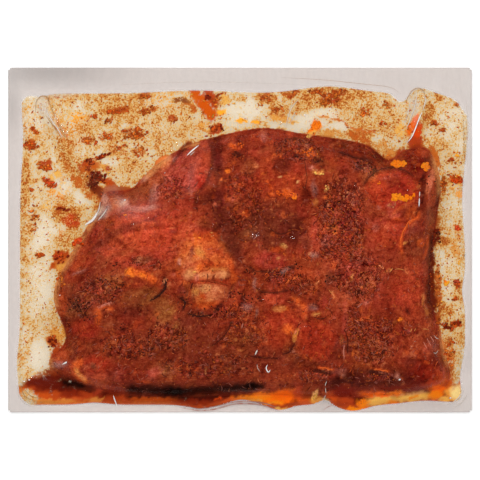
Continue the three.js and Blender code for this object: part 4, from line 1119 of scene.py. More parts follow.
# Paste and sauce between the films: ellipse, density of speckle, solid cover, colour
pasteStains = [
    # top left
    (-103, 60, 7, 10, 0, 0.26, 0, "amber"), (-84, 58, 10, 13, 0, 0.36, 0, "amber"),
    (-81, 59, 4.5, 6, 0, 0.5, 0.35, "yellowOil"), (-72, 70.5, 14, 3.5, 0, 0.45, 0.25, "tanPaste"),
    (-57, 65, 16, 8, 0, 0.5, 0.1, "tanPaste"), (-46, 66, 6, 10, 0, 0.5, 0.1, "chile"),
    (-62, 52, 20, 8, -8, 0.42, 0, "chile"), (-52, 40, 22, 9, 5, 0.4, 0, "chile"),
    (-33, 58, 16, 14, 0, 0.38, 0, "chile"), (-35, 70, 14, 5, 0, 0.3, 0, "amber"),
    (-96, 64, 3, 7, 15, 0.15, 0, "cream"), (-103, 70, 6, 3, 0, 0.1, 0, "cream"),
    (-90, 62, 5, 8, 20, 0.2, 0, "cream"), (-79, 66, 8, 3, 0, 0.25, 0, "cream"),
    (-93, 45, 7, 7, 0, 0.28, 0, "tanPaste"), (-67, 38, 6, 3, 5, 0.1, 0, "cream"),
    (-59.5, 64.5, 5.5, 1.8, 10, 0.8, 0.6, "chile"), (-46, 64, 4.5, 1.8, 15, 0.7, 0.5, "chile"),
    (-47, 71.5, 3.5, 2, 0, 0.75, 0.5, "chile"), (-28.5, 69.3, 4.5, 1.6, 0, 0.7, 0.6, "olive"),
    (-24, 66.2, 3.5, 1.6, -28, 0.7, 0.7, "chile"), (-33, 60, 2, 1.8, 0, 0.6, 0.4, "chile"),
    (-89, 55, 1.6, 6.5, 24, 0.5, 0.35, "tanOrange"), (-87, 47, 5, 4, 10, 0.58, 0.3, "chile"),
    (-86, 40, 3.5, 6, 10, 0.55, 0.2, "chile"), (-80, 34, 6, 5, -35, 0.55, 0.3, "chile"),
    (-71, 41.2, 6.5, 0.8, 20, 0.7, 0.5, "rust"), (-67.5, 36.5, 3, 2, 0, 0.6, 0.5, "amber"),
    (-66, 36, 1.4, 1.2, 0, 0.7, 0.6, "rust"), (-75.5, 36.5, 4, 3, 10, 0.7, 0.6, "rust"),
    (-74, 36, 5, 3, 30, 0.8, 0.7, "chile"), (-71.5, 31.5, 3.4, 3, 0, 0.8, 0.7, "brownRust"),
    (-72.6, 25, 3, 4.4, 20, 0.9, 0.75, "clot"), (-69.5, 23, 3, 3, 0, 0.8, 0.9, "brown"),
    (-80, 28.5, 5, 1.6, -38, 0.7, 0.5, "chile"), (-74.5, 22.5, 5, 1.4, -45, 0.7, 0.5, "chile"),
    (-71, 17, 1.5, 5, 0, 0.6, 0.4, "chile"), (-59, 24.8, 8.5, 1.9, -3, 0.8, 0.85, "tanBrown"),
    (-64, 24.4, 4, 2.2, 0, 0.8, 0.6, "mauve"), (-39.5, 38.5, 4.4, 2, 45, 0.8, 0.9, "salmon"),
    (-93, -65.6, 7, 2.6, -28, 0.9, 1, "sauceRed"), (-78, 21.5, 4, 4.5, 40, -0.1, 0, "cream"),
    (-77, 14, 5, 5, 0, 0.35, 0, "tanPaste"), (-90, 59, 4, 6, 20, 0.42, 0.3, "amber"),
    (-76, 23.3, 3.5, 2.4, -40, 0.6, 0.5, "chile"), (-66, 28.4, 3.5, 1.6, -10, 0.8, 0.8, "rustFlake"),
    (-55.5, 55.5, 4, 3, 0, 0.28, 0, "cream"), (-56.6, 47.5, 5, 3.5, 0, 0.26, 0, "cream"),
    (-45, 42.5, 4, 2.5, 40, 0.15, 0, "cream"),
    # left margin
    (-91, 24, 5, 4, -20, 0.45, 0.4, "honey"), (-102, 12, 3, 4, 0, 0.27, 0, "cream"),
    (-106.8, 25, 2.4, 24, -2, 0.48, 0, "tanPaste"), (-108, -20, 2.6, 26, 0, 0.38, 0.2, "tanPaste"),
    (-107.5, -52, 4, 16, 0, 0.3, 0.15, "tanPaste"), (-102.5, 7, 3, 6, 0, 0.45, 0, "chile"),
    (-103.5, 47, 3.2, 2.4, -20, 0.9, 0.9, "rust"), (-96.5, 37.5, 3.4, 2.6, -10, 0.9, 0.8, "rust"),
    (-94.5, 28.3, 3.6, 1.7, -25, 0.9, 0.9, "rust"), (-102, 54.5, 2.2, 0.9, -30, 0.9, 0.7, "rust"),
    (-91.5, 31.5, 4, 3.5, 0, 0.3, 0.6, "gold"), (-88, 26, 5, 4, 0, 0.1, 0.4, "gold"),
    (-94, 17, 5.5, 3.4, -10, 0.35, 0.35, "gold"), (-86.5, 13, 7, 5.5, -10, 0.62, 0.15, "chile"),
    (-84, 9, 4, 4.5, 0, 0.68, 0.2, "rustOrange"), (-88, 3.5, 2.4, 3, 0, 0.45, 0.45, "oil"),
    (-84, 0, 7, 6, 0, 0.5, 0.2, "chile"), (-80, -1.2, 2.6, 1.8, 0, 0.9, 1, "orangeRed"),
    (-87.5, 15.6, 2.6, 0.5, -3, 0.9, 0.9, "deepRed"), (-97, 5, 5.5, 7, 0, -0.1, 0.1, "cream"),
    (-98, -24, 6.5, 17, 0, 0.1, 0, "cream"), (-98, -58, 6, 9, 0, -0.1, 0.1, "cream"),
    (-99.5, -8, 2, 1.3, 0, 0.8, 0.8, "tanOrange"), (-88.8, -8.3, 3.6, 3, -10, 0.9, 1, "rust"),
    (-91, -12.5, 3.6, 1.4, 25, 0.8, 0.9, "rustFlake"), (-87, -14, 4, 5, 0, 0.6, 0.4, "amber"),
    (-93.5, -50, 2.9, 2.9, 0, 0.9, 1, "rust"), (-90, -46, 6, 4, 0, 0.5, 0.2, "amber"),
    (-97, -38, 4, 5, 0, 0.35, 0, "tanPaste"), (-90.5, -56.5, 3.6, 6, 0, 0.6, 0.75, "glassy"),
    (-93, -64.8, 5, 1.4, 20, 0.7, 0.6, "brownRust"),
    # top middle and top right
    (0, 65, 9, 8, 0, -0.05, 0.1, "cream"), (26, 58, 10, 4, 0, -0.1, 0.1, "cream"),
    (44, 62.5, 12, 2.6, -3, -0.1, 0.15, "cream"), (44, 56.5, 9, 2.6, -8, -0.15, 0.1, "cream"),
    (-8.5, 69.5, 4, 3.4, 0, 0.5, 0.4, "gold"), (13, 70.5, 5, 2.6, 0, 0.75, 0.35, "chile"),
    (19, 64, 5, 5, 0, 0.62, 0.2, "chile"), (25, 73, 6, 1.8, 0, 0.7, 0.3, "chile"),
    (32, 66, 5, 3, 0, 0.55, 0.2, "chile"), (43, 71, 13, 5.5, 0, 0.64, 0.15, "chile"),
    (44, 70, 5.5, 2.4, 0, 0.78, 0.4, "rustFlake"), (60, 70, 8, 6, 0, 0.55, 0.05, "chile"),
    (62, 61, 9, 7, 0, 0.45, 0, "tanPaste"), (74, 58, 7, 8, 0, 0.45, 0, "tanPaste"),
    (80, 54, 3.5, 4.5, 0, 0.5, 0.4, "gold"), (70.5, 47.5, 2.4, 1.6, 0, 0.5, 0.5, "amber"),
    (86, 66, 3.4, 8, 10, 0.15, 0.15, "cream"), (86, 57, 1.8, 6, -24, 0.6, 0.8, "blaze"),
    (88, 52.6, 2, 5.5, -14, 0.8, 0.8, "orangeRed"), (87.4, 47.6, 4.4, 3.6, 0, 0.8, 0.8, "rust"),
    (94.5, 65, 3.2, 2.8, -30, 0.7, 0.15, "chile"), (93, 61, 3, 3, 0, 0.6, 0.15, "chile"),
    (98.5, 71, 4.6, 1.1, -52, 0.7, 0.15, "chile"), (97, 58, 2, 1.2, 0, 0.9, 0.6, "rust"),
    (104, 62, 6, 9, 0, 0.2, 0, "tanPaste"), (98, 46, 7, 6, -20, 0.45, 0.2, "tanPaste"),
    (-9, 63, 2.6, 1.4, 0, 0.4, 0.9, "yellowOil"), (1, 59.2, 3.2, 1.2, 0, 0.4, 0.9, "yellowOil"),
    (8, 58.8, 3, 1.1, 0, 0.4, 0.9, "yellowOil"), (17.5, 60.5, 2.4, 1.1, 0, 0.4, 0.7, "amber"),
    (-12.4, 54.6, 3.6, 2.3, 10, 0.8, 0.8, "rust"), (37.8, 57, 2.9, 2.9, 0, 0.5, 1, "oil"),
    (35.5, 53.5, 1.6, 2.6, -25, 0.5, 1, "oil"), (45, 52.5, 8, 2.6, -4, 0.5, 0.4, "tanPaste"),
    (72, 44, 8, 3.2, -20, 0.55, 0.45, "tanPaste"), (74, 40, 2.4, 3.2, 0, 0.7, 0.9, "flake"),
    (96.4, 41.5, 1.6, 5.5, 24, 0.7, 0.8, "flake"), (-26, 46, 4.5, 2.6, 40, 0.8, 0.9, "brown"),
    (22, 59.4, 7, 2, -4, 0.55, 0.4, "amber"), (59, 51.4, 7, 2.2, -25, 0.72, 0.5, "chile"),
    (52, 62, 5, 2, 0, 0.35, 0.3, "tanPaste"), (62.5, 54.6, 4, 3, 0, 0.58, 0.3, "chile"),
    (20, 65.5, 4, 3, 0, 0.46, 0.1, "tanPaste"), (37.4, 69.5, 3, 3, 0, 0.45, 0, "tanPaste"),
    (-18, 56, 4, 2.6, 0, 0.55, 0.35, "amber"), (-107.4, -4, 2.4, 7, 0, 0.52, 0.1, "tanPaste"),
    (103.6, -56, 2.6, 4, 0, 0.4, 0.15, "tanPaste"), (104.4, -42, 2.2, 4, 0, 0.42, 0.1, "tanPaste"),
    (101.8, 30.4, 2.2, 3.4, 0, 0.42, 0.1, "tanPaste"), (65.5, 70, 4, 3, 0, 0.36, 0, "cream"),
    (-26, 64.5, 4, 3, 0, 0.6, 0.3, "chile"), (73, 65, 4, 4, 0, 0.33, 0, "cream"),
    (-1, 70.4, 5, 2.4, 0, 0.4, 0.2, "tanPaste"),
    # right margin
    (101, -36, 4, 5, 0, 0.58, 0.2, "chile"), (105.5, 20, 5, 22, 0, 0.3, 0.15, "tanPaste"),
    (107, -1, 6, 8, 0, 0.4, 0.35, "tanPaste"), (99, -9, 2.6, 6, 0, -0.1, 0.05, "cream"),
    (103, -22, 4.5, 8, 0, 0.2, 0.05, "tanPaste"), (98.5, 12, 2.6, 9, 0, 0.5, 0.2, "chile"),
    (96.8, 1.8, 2.4, 2.4, -20, 0.9, 0.95, "clot"), (100.5, -0.6, 4.4, 2.4, 0, 0.7, 0.2, "chile"),
    (97.8, -26, 2.2, 16, 0, 0.66, 0.6, "chile"), (107.5, -21.5, 1.6, 2.4, 0, 0.8, 0.9, "rosy"),
    (108, -26, 2.6, 8, 0, 0.45, 0.1, "tanPaste"), (107.5, -41.5, 2.6, 1.7, 5, 0.9, 1, "rust"),
    (102.6, -43, 2.4, 1, -25, 0.9, 0.9, "deepRed"), (108, -46, 3.6, 3, 0, 0.45, 0.15, "tanPaste"),
    (105, -60, 4.5, 12, 0, 0.4, 0, "tanPaste"), (107, 30, 3, 2, -12, 0.9, 1, "orangeRed"),
    (109, 22.5, 2, 1.8, 30, 0.4, 0.7, "honey"), (107, 27, 3, 2, 0, 0.3, 0.4, "gold"),
    (107.5, 6, 2, 1.2, -40, 0.8, 0.7, "orangeRed"), (101, 27, 2, 4, 0, 0.7, 0.1, "chile"),
    # sauce at the upper right corner, along the right edge and in the lower right corner
    (87.5, 40, 6.5, 6, 0, 0.9, 1, "sauceRed"), (81, 41.5, 4, 3, 0, 0.8, 0.9, "rust"),
    (102, -62, 4.4, 12, 0, 0.62, 0.3, "tanOrange"), (96.5, -65, 7, 12, 0, 0.8, 1, "rust"),
    (94, -66, 7, 11, 0, 0.8, 1, "sauceRed"),
    # speckle in the gutter
    (-104.5, -78.5, 5, 4, -35, 0.3, 0.05, "tanPaste"), (-109, -68, 3, 4, 0, 0.2, 0, "cream"),
    (41.8, -81.5, 2.4, 2.6, 0, 0.1, 0.2, "cream"),
]
pasteStreaks = [  # path, half width, colour, cover
    ([(-23.5, 75), (-20.5, 71), (-17, 66.5), (-14.2, 61.5)], 2.5, "deepOil", 0.95),
    ([(-16.5, 73), (-14.5, 70.5), (-12.5, 67.5)], 1.8, "rust", 0.9),
    ([(38, 62), (44, 61), (52, 58), (58, 55), (66, 53)], 0.55, "flake", 0.8),
    ([(34, 52), (36.6, 54)], 0.5, "gold", 0.9),
    ([(-100.5, 68), (-98.5, 71.2), (-95.5, 70.8), (-93.2, 66)], 0.5, "amber", 0.5),
    ([(-95, 61), (-91.5, 56), (-88, 50.5)], 0.7, "tanOrange", 0.6),
    ([(-92.5, 62), (-89, 56.5), (-85.5, 51)], 0.8, "rustOrange", 0.6),
    # dark strip along the meat's right wall: juice and painted shadow
    ([(95, 4), (95, -8), (94.6, -22), (96, -36)], 1.4, "wedgeRed", 0.9),
]
pasteLook = {
    "cell": 0.62,
    "gap": 0.45,          # it lies this far under the top of the film
    "density": 0.3,       # speckle where no patch says otherwise
    # brown juice stain and painted shadow round the meat, wider on its shaded right side
    "rimStainAndShadow": 2.4,          # width of the brown stain round the meat
    "ragged": 1.2,        # how ragged the edges of the patches are
    "cluster": 0.6,       # speckle round each cluster of flakes
    "gain": (1.12, 0.95, 0.5),
    "speckled": ("chile", "cream", "tanPaste"),   # colours that stay under the speckle
    "deep": (214, 168, 140),      # what the thickest paste multiplies its colour by
    "shine": 0.05,
    "relief": 0.25,
    # darkest against the meat: thick juice and painted shadow of its foot
    "gutter": [           # from the meat outwards
        (-0.3, "darkMaroon"), (0.05, "wedgeRed"), (0.3, "deepRed"), (0.45, "rust"),
        (0.68, "rustOrange"), (0.85, "tanOrange"),
    ],
    "stops": [            # colour of the stain by how thick the speckle lies
        (0.04, (234, 212, 172)), (0.20, (228, 198, 144)), (0.34, (220, 178, 108)), (0.46, (210, 150, 72)),
        (0.60, (196, 116, 40)), (0.74, (172, 84, 18)), (0.92, (140, 56, 10)),
    ],
}


# Paste: speckle coloured by how thick it lies, and smooth sauce where the cover is solid
def makePastePaint():
    paint = Paint("chile_paste")
    place = paint.place()
    crowding = paint.attribute("crowding")
    solid = paint.attribute("solid")
    own = paint.attribute("own")
    tint = paint.attribute("tint", "Color")
    blotch = paint.noise(place, 6.5, 5, 0.62)
    speckle = paint.noise(paint.stretched(place, -35, (1, 0.75, 1)), 2.4, 8, 0.78)
    fine = paint.noise(place, 0.8, 3, 0.65)
    dots = paint.noise(place, 1.3, 2, 0.5).between(0.56, 0.68)
    level = (speckle - 0.5) * 1.5 + (blotch - 0.5) * 0.8 + (fine - 0.5) * 1.7 + dots * 0.22 + crowding - 0.05
    stain = paint.add("ShaderNodeValToRGB", {"stops": pasteLook["stops"]}, {0: level})
    deep = paint.mix(1.0, tint, pasteLook["deep"], "MULTIPLY")
    owned = paint.mix(level.between(0.5, 0.75), tint, deep)
    colour = paint.mix(level.between(0.22, 0.46) * own, stain, owned)
    swirl = 0.70 + blotch * 0.3 + fine * 0.3
    swirls = paint.add("ShaderNodeCombineColor", {}, {0: swirl, 1: swirl, 2: swirl})
    smooth = paint.mix(1.0, tint, swirls, "MULTIPLY")
    cover = (solid + (speckle - 0.5) * 2.3 + (blotch - 0.5) * 0.8).between(0.2, 0.75)
    colour = paint.mix(cover, colour, smooth)
    alpha = cover.maths("MAXIMUM", 0.55 + level.between(0.05, 0.4) * 0.42, cover)
    bump = paint.bump(speckle * 0.6 + fine * 0.4, pasteLook["relief"], 0.5)
    return paint.finish(paint.surface({"Base Color": colour, "Roughness": 0.5 - cover * 0.15, "Alpha": alpha,
                                       "Specular IOR Level": pasteLook["shine"], "Normal": bump}))


# Thin layer of paste and sauce in the pocket round the meat
def makePaste():
    def depthRound(x, y):
        return np.minimum(pocketDepthAt(x, y) - 0.3, 2.2 - slabDepthAt(x, y))

    x, y, quads = cellsInside(depthRound, pasteLook["cell"])
    ragged = pasteLook["ragged"]
    warpX = x + ragged * (cloud(x, y, 5, 111) + 0.7 * cloud(x, y, 2, 113))
    warpY = y + ragged * (cloud(x, y, 5, 121) + 0.7 * cloud(x, y, 2, 123))
    density = pasteLook["density"] + 0.1 * cloud(x, y, 16, 131)
    solid = np.zeros_like(x)
    own = np.zeros_like(x)
    colour = np.tile(linear(foodColours["chile"]), (len(x), 1))
    outward = -np.minimum(slabDepthAt(warpX, warpY), 0)
    paler = outward / (outward + np.maximum(pocketDepthAt(x, y), 0.01)) + 0.12 * cloud(x, y, 5, 139)
    gutter = smoothStep((-y - 67) / 5)
    solid += gutter
    own += gutter
    for start, name in pasteLook["gutter"]:
        tintTowards(colour, gutter * smoothStep((paler - start) / 0.25), name)
    for *ellipse, dense, cover, name in pasteStains:
        weight = softSpot(warpX, warpY, ellipse, 0.6, 0.75)
        density += weight * (dense - density)
        solid += weight * (cover - solid)
        own += weight * ((name not in pasteLook["speckled"]) - own)
        tintTowards(colour, weight, name)
    for *ellipse, count, names in flakeClusters:
        dense = min(max(count / (ellipse[2] * ellipse[3]) - 1.5, 0) / 2.5, 1)
        weight = (0.35 + 0.6 * dense) * softSpot(warpX, warpY, ellipse, 0.45, 1)
        density += weight * (pasteLook["cluster"] - density)
        own += weight * (1 - own)
        tintTowards(colour, weight, names[0])
    slabDepth = slabDepthAt(x, y)
    # Brown band round the meat: juice stain and painted shadow, widening on the right
    widening = 0.35 + 0.85 * smoothStep((x - 40) / 50) + 0.6 * smoothStep((x - 85) / 8)
    rimStainAndShadow = np.exp(-(outward / (pasteLook["rimStainAndShadow"] * widening)) ** 2)
    rimStainAndShadow *= (0.75 + 0.4 * cloud(x, y, 9, 137)) * (1 - gutter) * (1 - 0.8 * smearedAt(x, y))
    density = np.maximum(density, 0.75 * rimStainAndShadow)
    solid = np.maximum(solid, 1.05 * rimStainAndShadow ** 3)
    tintTowards(colour, 0.7 * rimStainAndShadow ** 2, "brownRust")
    foot = smoothStep((slabDepth + 1) / 0.9)
    smooth = [foot]
    for path, width, name, cover in pasteStreaks:
        smooth.append(cover * np.exp(-0.5 * (nearestOnPath(warpX, warpY, path)[0] / width) ** 4))
        tintTowards(colour, smooth[-1], name)
    smooth.append(layGutter(warpX, warpY, colour))
    solid = np.maximum(solid, np.max(smooth, axis=0))
    own = np.maximum(own, np.max(smooth, axis=0))
    tint = colour * pasteLook["gain"]
    tint += foot[:, None] * (meatColourAt(x, y) - tint)
    top = np.maximum(filmAt(x, y) - pasteLook["gap"] - smoothStep(slabDepth / 0.8), 0.35)
    vertices = np.stack([x, y, top], axis=1)
    return addPiece("chile_paste", vertices, quads, makePastePaint(),
                    [("crowding", density), ("solid", solid), ("own", own), ("tint", np.clip(tint, 0, 1))])


paste = makePaste()
print("paste and sauce", len(paste.data.polygons), "faces")


# Unit ball of rings and sides between two poles, as triangles
def unitBall(rings, sides):
    ring, side = np.meshgrid(np.arange(1, rings + 1), np.arange(sides), indexing="ij")
    polar = math.pi * ring / (rings + 1)
    turn = 2 * math.pi * (side + 0.5 * (ring % 2)) / sides
    body = np.stack([np.sin(polar) * np.cos(turn), np.sin(polar) * np.sin(turn), np.cos(polar)], axis=-1)
    vertices = np.concatenate([[[0, 0, 1]], body.reshape(-1, 3), [[0, 0, -1]]])
    here = np.arange(sides)
    after = (here + 1) % sides
    faces = [np.stack([np.zeros(sides, int), 1 + here, 1 + after], axis=1)]
    for upper in range(1, 1 + (rings - 1) * sides, sides):
        lower = upper + sides
        faces.append(np.stack([upper + here, lower + here, lower + after], axis=1))
        faces.append(np.stack([upper + here, lower + after, upper + after], axis=1))
    last = 1 + (rings - 1) * sides
    faces.append(np.stack([np.full(sides, last + sides), last + after, last + here], axis=1))
    return vertices, np.concatenate(faces)


# Lumps joined in one mesh: balls stretched, roughened, bent and turned, hung a gap under the film
def addLumps(name, places, radii, turns, tints, paint, rng, gap, rings=2, sides=5, rough=0.25, bend=0.0):
    ball, ballFaces = unitBall(rings, sides)
    count = len(places)
    shape = ball * (1 + rough * rng.uniform(-1, 1, (count, len(ball), 1))) * radii[:, None, :]
    curve = bend * radii[:, None, 0] * rng.uniform(-1, 1, (count, 1))
    across = shape[:, :, 1] + curve * (ball[None, :, 0] ** 2 - 0.5)
    cosine, sine = np.cos(turns)[:, None], np.sin(turns)[:, None]
    x = places[:, :1] + shape[:, :, 0] * cosine - across * sine
    y = places[:, 1:] + shape[:, :, 0] * sine + across * cosine
    z = filmAt(x, y) - gap - radii[:, 2:] + shape[:, :, 2]
    vertices = np.stack([x, y, np.maximum(z, 0.15)], axis=-1).reshape(-1, 3)
    faces = (ballFaces[None] + (np.arange(count) * len(ball))[:, None, None]).reshape(-1, 3)
    addPiece(name, vertices, faces, paint, [("tint", np.repeat(tints, len(ball), axis=0))])
    print(name, count, "lumps,", len(faces), "triangles")


# Random places over the pouch, kept with the chance the share function gives
def scatter(count, shareAt, rng):
    places = np.empty((0, 2))
    while len(places) < count:
        tries = rng.uniform(pouchLow[:2], pouchHigh[:2], (count * 4, 2))
        places = np.concatenate([places, tries[rng.random(len(tries)) < shareAt(*tries.T)]])
    return places[:count]


# Places in an ellipse, from shares of its reach and angles round its middle
def placesInEllipse(ellipse, shares, angles):
    middleX, middleY, halfLength, halfWidth, turn = ellipse
    along, across = halfLength * shares * np.cos(angles), halfWidth * shares * np.sin(angles)
    cosine, sine = math.cos(math.radians(turn)), math.sin(math.radians(turn))
    return np.stack([middleX + along * cosine - across * sine,
                     middleY + along * sine + across * cosine], axis=1)


# Tints drawn from named colours, each a little lighter or darker
def pickTints(names, count, rng, jitter=0.2, gain=(1.3, 1.0, 0.42)):
    palette = np.array([linear(foodColours[name]) for name in names])
    chosen = palette[rng.integers(len(names), size=count)] * gain
    return np.clip(chosen * rng.uniform(1 - jitter, 1 + jitter, (count, 1)), 0, 1)


# Tints between the meat's own colour at each place and others
def blendTints(places, others, share, rng, jitter=0.25):
    tints = meatColourAt(*places.T) * (1 - share) + others * share
    return np.clip(tints * rng.uniform(1 - jitter, 1 + jitter, (len(places), 1)), 0, 1)


lumpLook = {
    "dark": (150, 128, 120),      # what the mottling multiplies a lump's colour by
    "shine": 0.1,
}


# Material for lumps: their own tint, mottled and slightly rough
def makeLumpPaint(name, grain, contrast, roughness, depth):
    paint = Paint(name)
    place = paint.place()
    tint = paint.attribute("tint", "Color")
    mottle = paint.noise(place, grain, 4, 0.65)
    darker = paint.mix(1.0, tint, lumpLook["dark"], "MULTIPLY")
    colour = paint.mix((1 - mottle.between(0.35, 0.6)) * contrast, tint, darker)
    return paint.finish(paint.surface({"Base Color": colour, "Roughness": roughness,
                                       "Specular IOR Level": lumpLook["shine"],
                                       "Normal": paint.bump(mottle, depth, 0.6)}))


# How flaky the meat is above its plain share, and 0 near the slab's edge
def flakyShare(x, y):
    plain = slabLook["plain"]
    return np.where(slabDepthAt(x, y) > 1.5, (flakyAt(x, y) - plain) / (1 - plain), 0)


# Crumbs of meat: many small bits that make the flaky parts rough
def addCrumbs():
    look = {
        "count": 2600, "size": (0.3, 0.9), "height": 0.3, "gap": 0.22,
        "colours": ("brownRed", "mauve", "rust", "shredDark", "maroon", "red", "rustOrange", "rosy"),
    }
    rng = np.random.default_rng(11)

    def share(x, y):
        return flakyShare(x, y) * smoothStep(0.6 + cloud(x, y, 9, 161))

    places = scatter(look["count"], share, rng)
    size = rng.uniform(*look["size"], look["count"])
    length = size * rng.uniform(1, 1.9, len(size))
    radii = np.stack([length, size, np.full(len(size), look["height"])], axis=1)
    turns = rng.uniform(0, math.tau, len(size))
    others = pickTints(look["colours"], len(size), rng, 0.2, (1.1, 1, 1))
    tints = blendTints(places, others, 0.35, rng, 0.3)
    paint = makeLumpPaint("crumb", 0.9, 0.8, 0.6, 0.2)
    addLumps("meat_crumbs", places, radii, turns, tints, paint, rng, look["gap"])


# Shreds: short fibres, paler than the meat, lying along the grain
def addShreds():
    look = {
        "count": 2600, "length": (0.5, 1.9), "width": 0.17, "height": 0.2, "spread": 0.96, "gap": 0.16,
        "leftGrain": 40, "rightGrain": 100,   # which way they lie, in degrees
        "colours": ("rustOrange", "orange", "shredPink", "mauve", "salmon", "shredPink", "rosy", "rust",
                    "rosyRed", "shredDark", "shredDark"),
    }
    rng = np.random.default_rng(12)

    def share(x, y):
        crowd = smoothStep(0.4 + cloud(x, y, 7, 171))
        return (0.12 + 0.88 * flakyShare(x, y)) * crowd * (slabDepthAt(x, y) > 2)

    places = scatter(look["count"], share, rng)
    length = rng.uniform(*look["length"], look["count"])
    width = look["width"] * rng.uniform(0.7, 1.5, len(length))
    radii = np.stack([length, width, np.full(len(length), look["height"])], axis=1)
    grain = np.radians(np.where(places[:, 0] < 0, look["leftGrain"], look["rightGrain"]))
    turns = grain + look["spread"] * rng.standard_normal(len(length))
    others = pickTints(look["colours"], len(length), rng, 0.2, (1.1, 1, 1))
    tints = blendTints(places, others, 0.6, rng)
    paint = makeLumpPaint("shred", 0.7, 0.6, 0.5, 0.15)
    addLumps("meat_shreds", places, radii, turns, tints, paint, rng, look["gap"],
             rings=3, sides=4, rough=0.2, bend=0.4)


# Middles of the clusters of dark pepper on the meat
pepperPlaces = [
    (-82, -31), (-77, -31.5), (-82, -34), (-78, -37.6), (-60, -22), (-67, -20), (-61, -12), (-53, -11),
    (-36.5, -21.5), (-29, -30), (-22, -36.5), (-10.5, -34), (-3, -26), (1.5, -29), (10, -29), (20, -17.5),
    (26.5, -13), (28.5, -18.5), (5, -16), (-2, 42.5), (28.3, 41.5), (38, 39), (66, 34.5), (59, 37),
    (43.5, 17.5), (46, 6), (52.5, 7), (45, -18.5), (-43.5, -53.5), (-49, -56), (-58, -43.5), (-28, -50),
    (-25, -66), (91, 29), (59, -28), (68, -56),
]


# Grains of spice: dark, red and orange, thick in some places and thin in others
def addGrains():
    look = {
        "count": 2200, "size": (0.14, 0.34), "gap": 0.12,
        "pepper": 13, "pepperSize": (0.18, 0.42), "pepperReach": (2.0, 1.3),   # grains in each cluster
        "onMeat": ("nearBlack", "shredDark", "maroon", "brightOrange", "rustOrange", "shredPink", "salmon"),
        "onFilm": ("chile", "rustOrange", "flake", "tanOrange", "amber"),
        "peppers": ("nearBlack", "darkMaroon", "maroon"),
    }
    rng = np.random.default_rng(13)

    def share(x, y):
        inPocket = pocketDepthAt(x, y) > 1
        onSlab = slabDepthAt(x, y) > 0
        crowd = smoothStep(0.45 + 0.9 * cloud(x, y, 11, 181))
        onFilm = 0.12 * smoothStep((y + 66) / 3)
        return inPocket * crowd * np.where(onSlab, 0.04 + 0.3 * flakyShare(x, y), onFilm)

    places = scatter(look["count"], share, rng)
    size = rng.uniform(*look["size"], look["count"])
    radii = np.stack([size * rng.uniform(1, 1.8, len(size)), size, size * 0.6], axis=1)
    onSlab = slabDepthAt(*places.T) > 0
    speckTints = pickTints(look["onMeat"], len(size), rng, 0.2, (1.1, 1, 0.8))
    meatTints = blendTints(places, speckTints, 0.6, rng)
    filmTints = pickTints(look["onFilm"], len(size), rng)
    tints = np.where(onSlab[:, None], meatTints, filmTints)
    middles = np.repeat(np.array(pepperPlaces), look["pepper"], axis=0)
    places = np.concatenate([places, middles + look["pepperReach"] * rng.standard_normal(middles.shape)])
    pepperSize = rng.uniform(*look["pepperSize"], len(middles))
    flat = np.stack([pepperSize * rng.uniform(1, 1.6, len(middles)), pepperSize, 0.45 * pepperSize], axis=1)
    radii = np.concatenate([radii, flat])
    tints = np.concatenate([tints, pickTints(look["peppers"], len(middles), rng, 0.3, (1, 1, 1))])
    addLumps("spice_grains", places, radii, rng.uniform(0, math.tau, len(places)), tints,
             makeLumpPaint("spice", 0.5, 0.5, 0.6, 0.1), rng, look["gap"])


# Flakes of chile: flat lumps in their clusters, and loose ones over the paste
def addFlakes():
    look = {
        "size": (0.3, 0.9), "thickness": 0.06, "gap": 0.12, "crowd": 0.8,
        "loose": 220, "looseSize": 0.62,
        "looseColours": ("flake", "rustFlake", "tanOrange", "chile", "amber"),
    }
    rng = np.random.default_rng(14)
    places, tints = [], []
    for *ellipse, count, names in flakeClusters:
        count = int(count * look["crowd"])
        shares = 1.3 * rng.random(count) ** 0.8
        places.append(placesInEllipse(ellipse, shares, rng.uniform(0, math.tau, count)))
        tints.append(pickTints(names, count, rng, 0.3, (1.5, 1.35, 0.8)))
    handPlaced = sum(len(group) for group in places)

    def share(x, y):
        crowd = smoothStep(0.5 + cloud(x, y, 8, 191)) * smoothStep((y + 70) / 20)
        return (pocketDepthAt(x, y) > 1.5) * (slabDepthAt(x, y) < -1) * crowd

    places.append(scatter(look["loose"], share, rng))
    tints.append(pickTints(look["looseColours"], look["loose"], rng, 0.2, (1.4, 1.25, 0.6)))
    places, tints = np.concatenate(places), np.concatenate(tints)
    size = rng.uniform(*look["size"], len(places))
    size[handPlaced:] *= look["looseSize"]
    length = size * rng.uniform(1, 2.1, len(size))
    radii = np.stack([length, 0.85 * size, np.full(len(size), look["thickness"])], axis=1)
    turns = math.radians(25) + 0.6 * rng.standard_normal(len(size))
    paint = makeLumpPaint("chile_flake", 0.8, 0.7, 0.55, 0.15)
    addLumps("chile_flakes", places, radii, turns, tints, paint, rng, look["gap"], sides=6, rough=0.38)


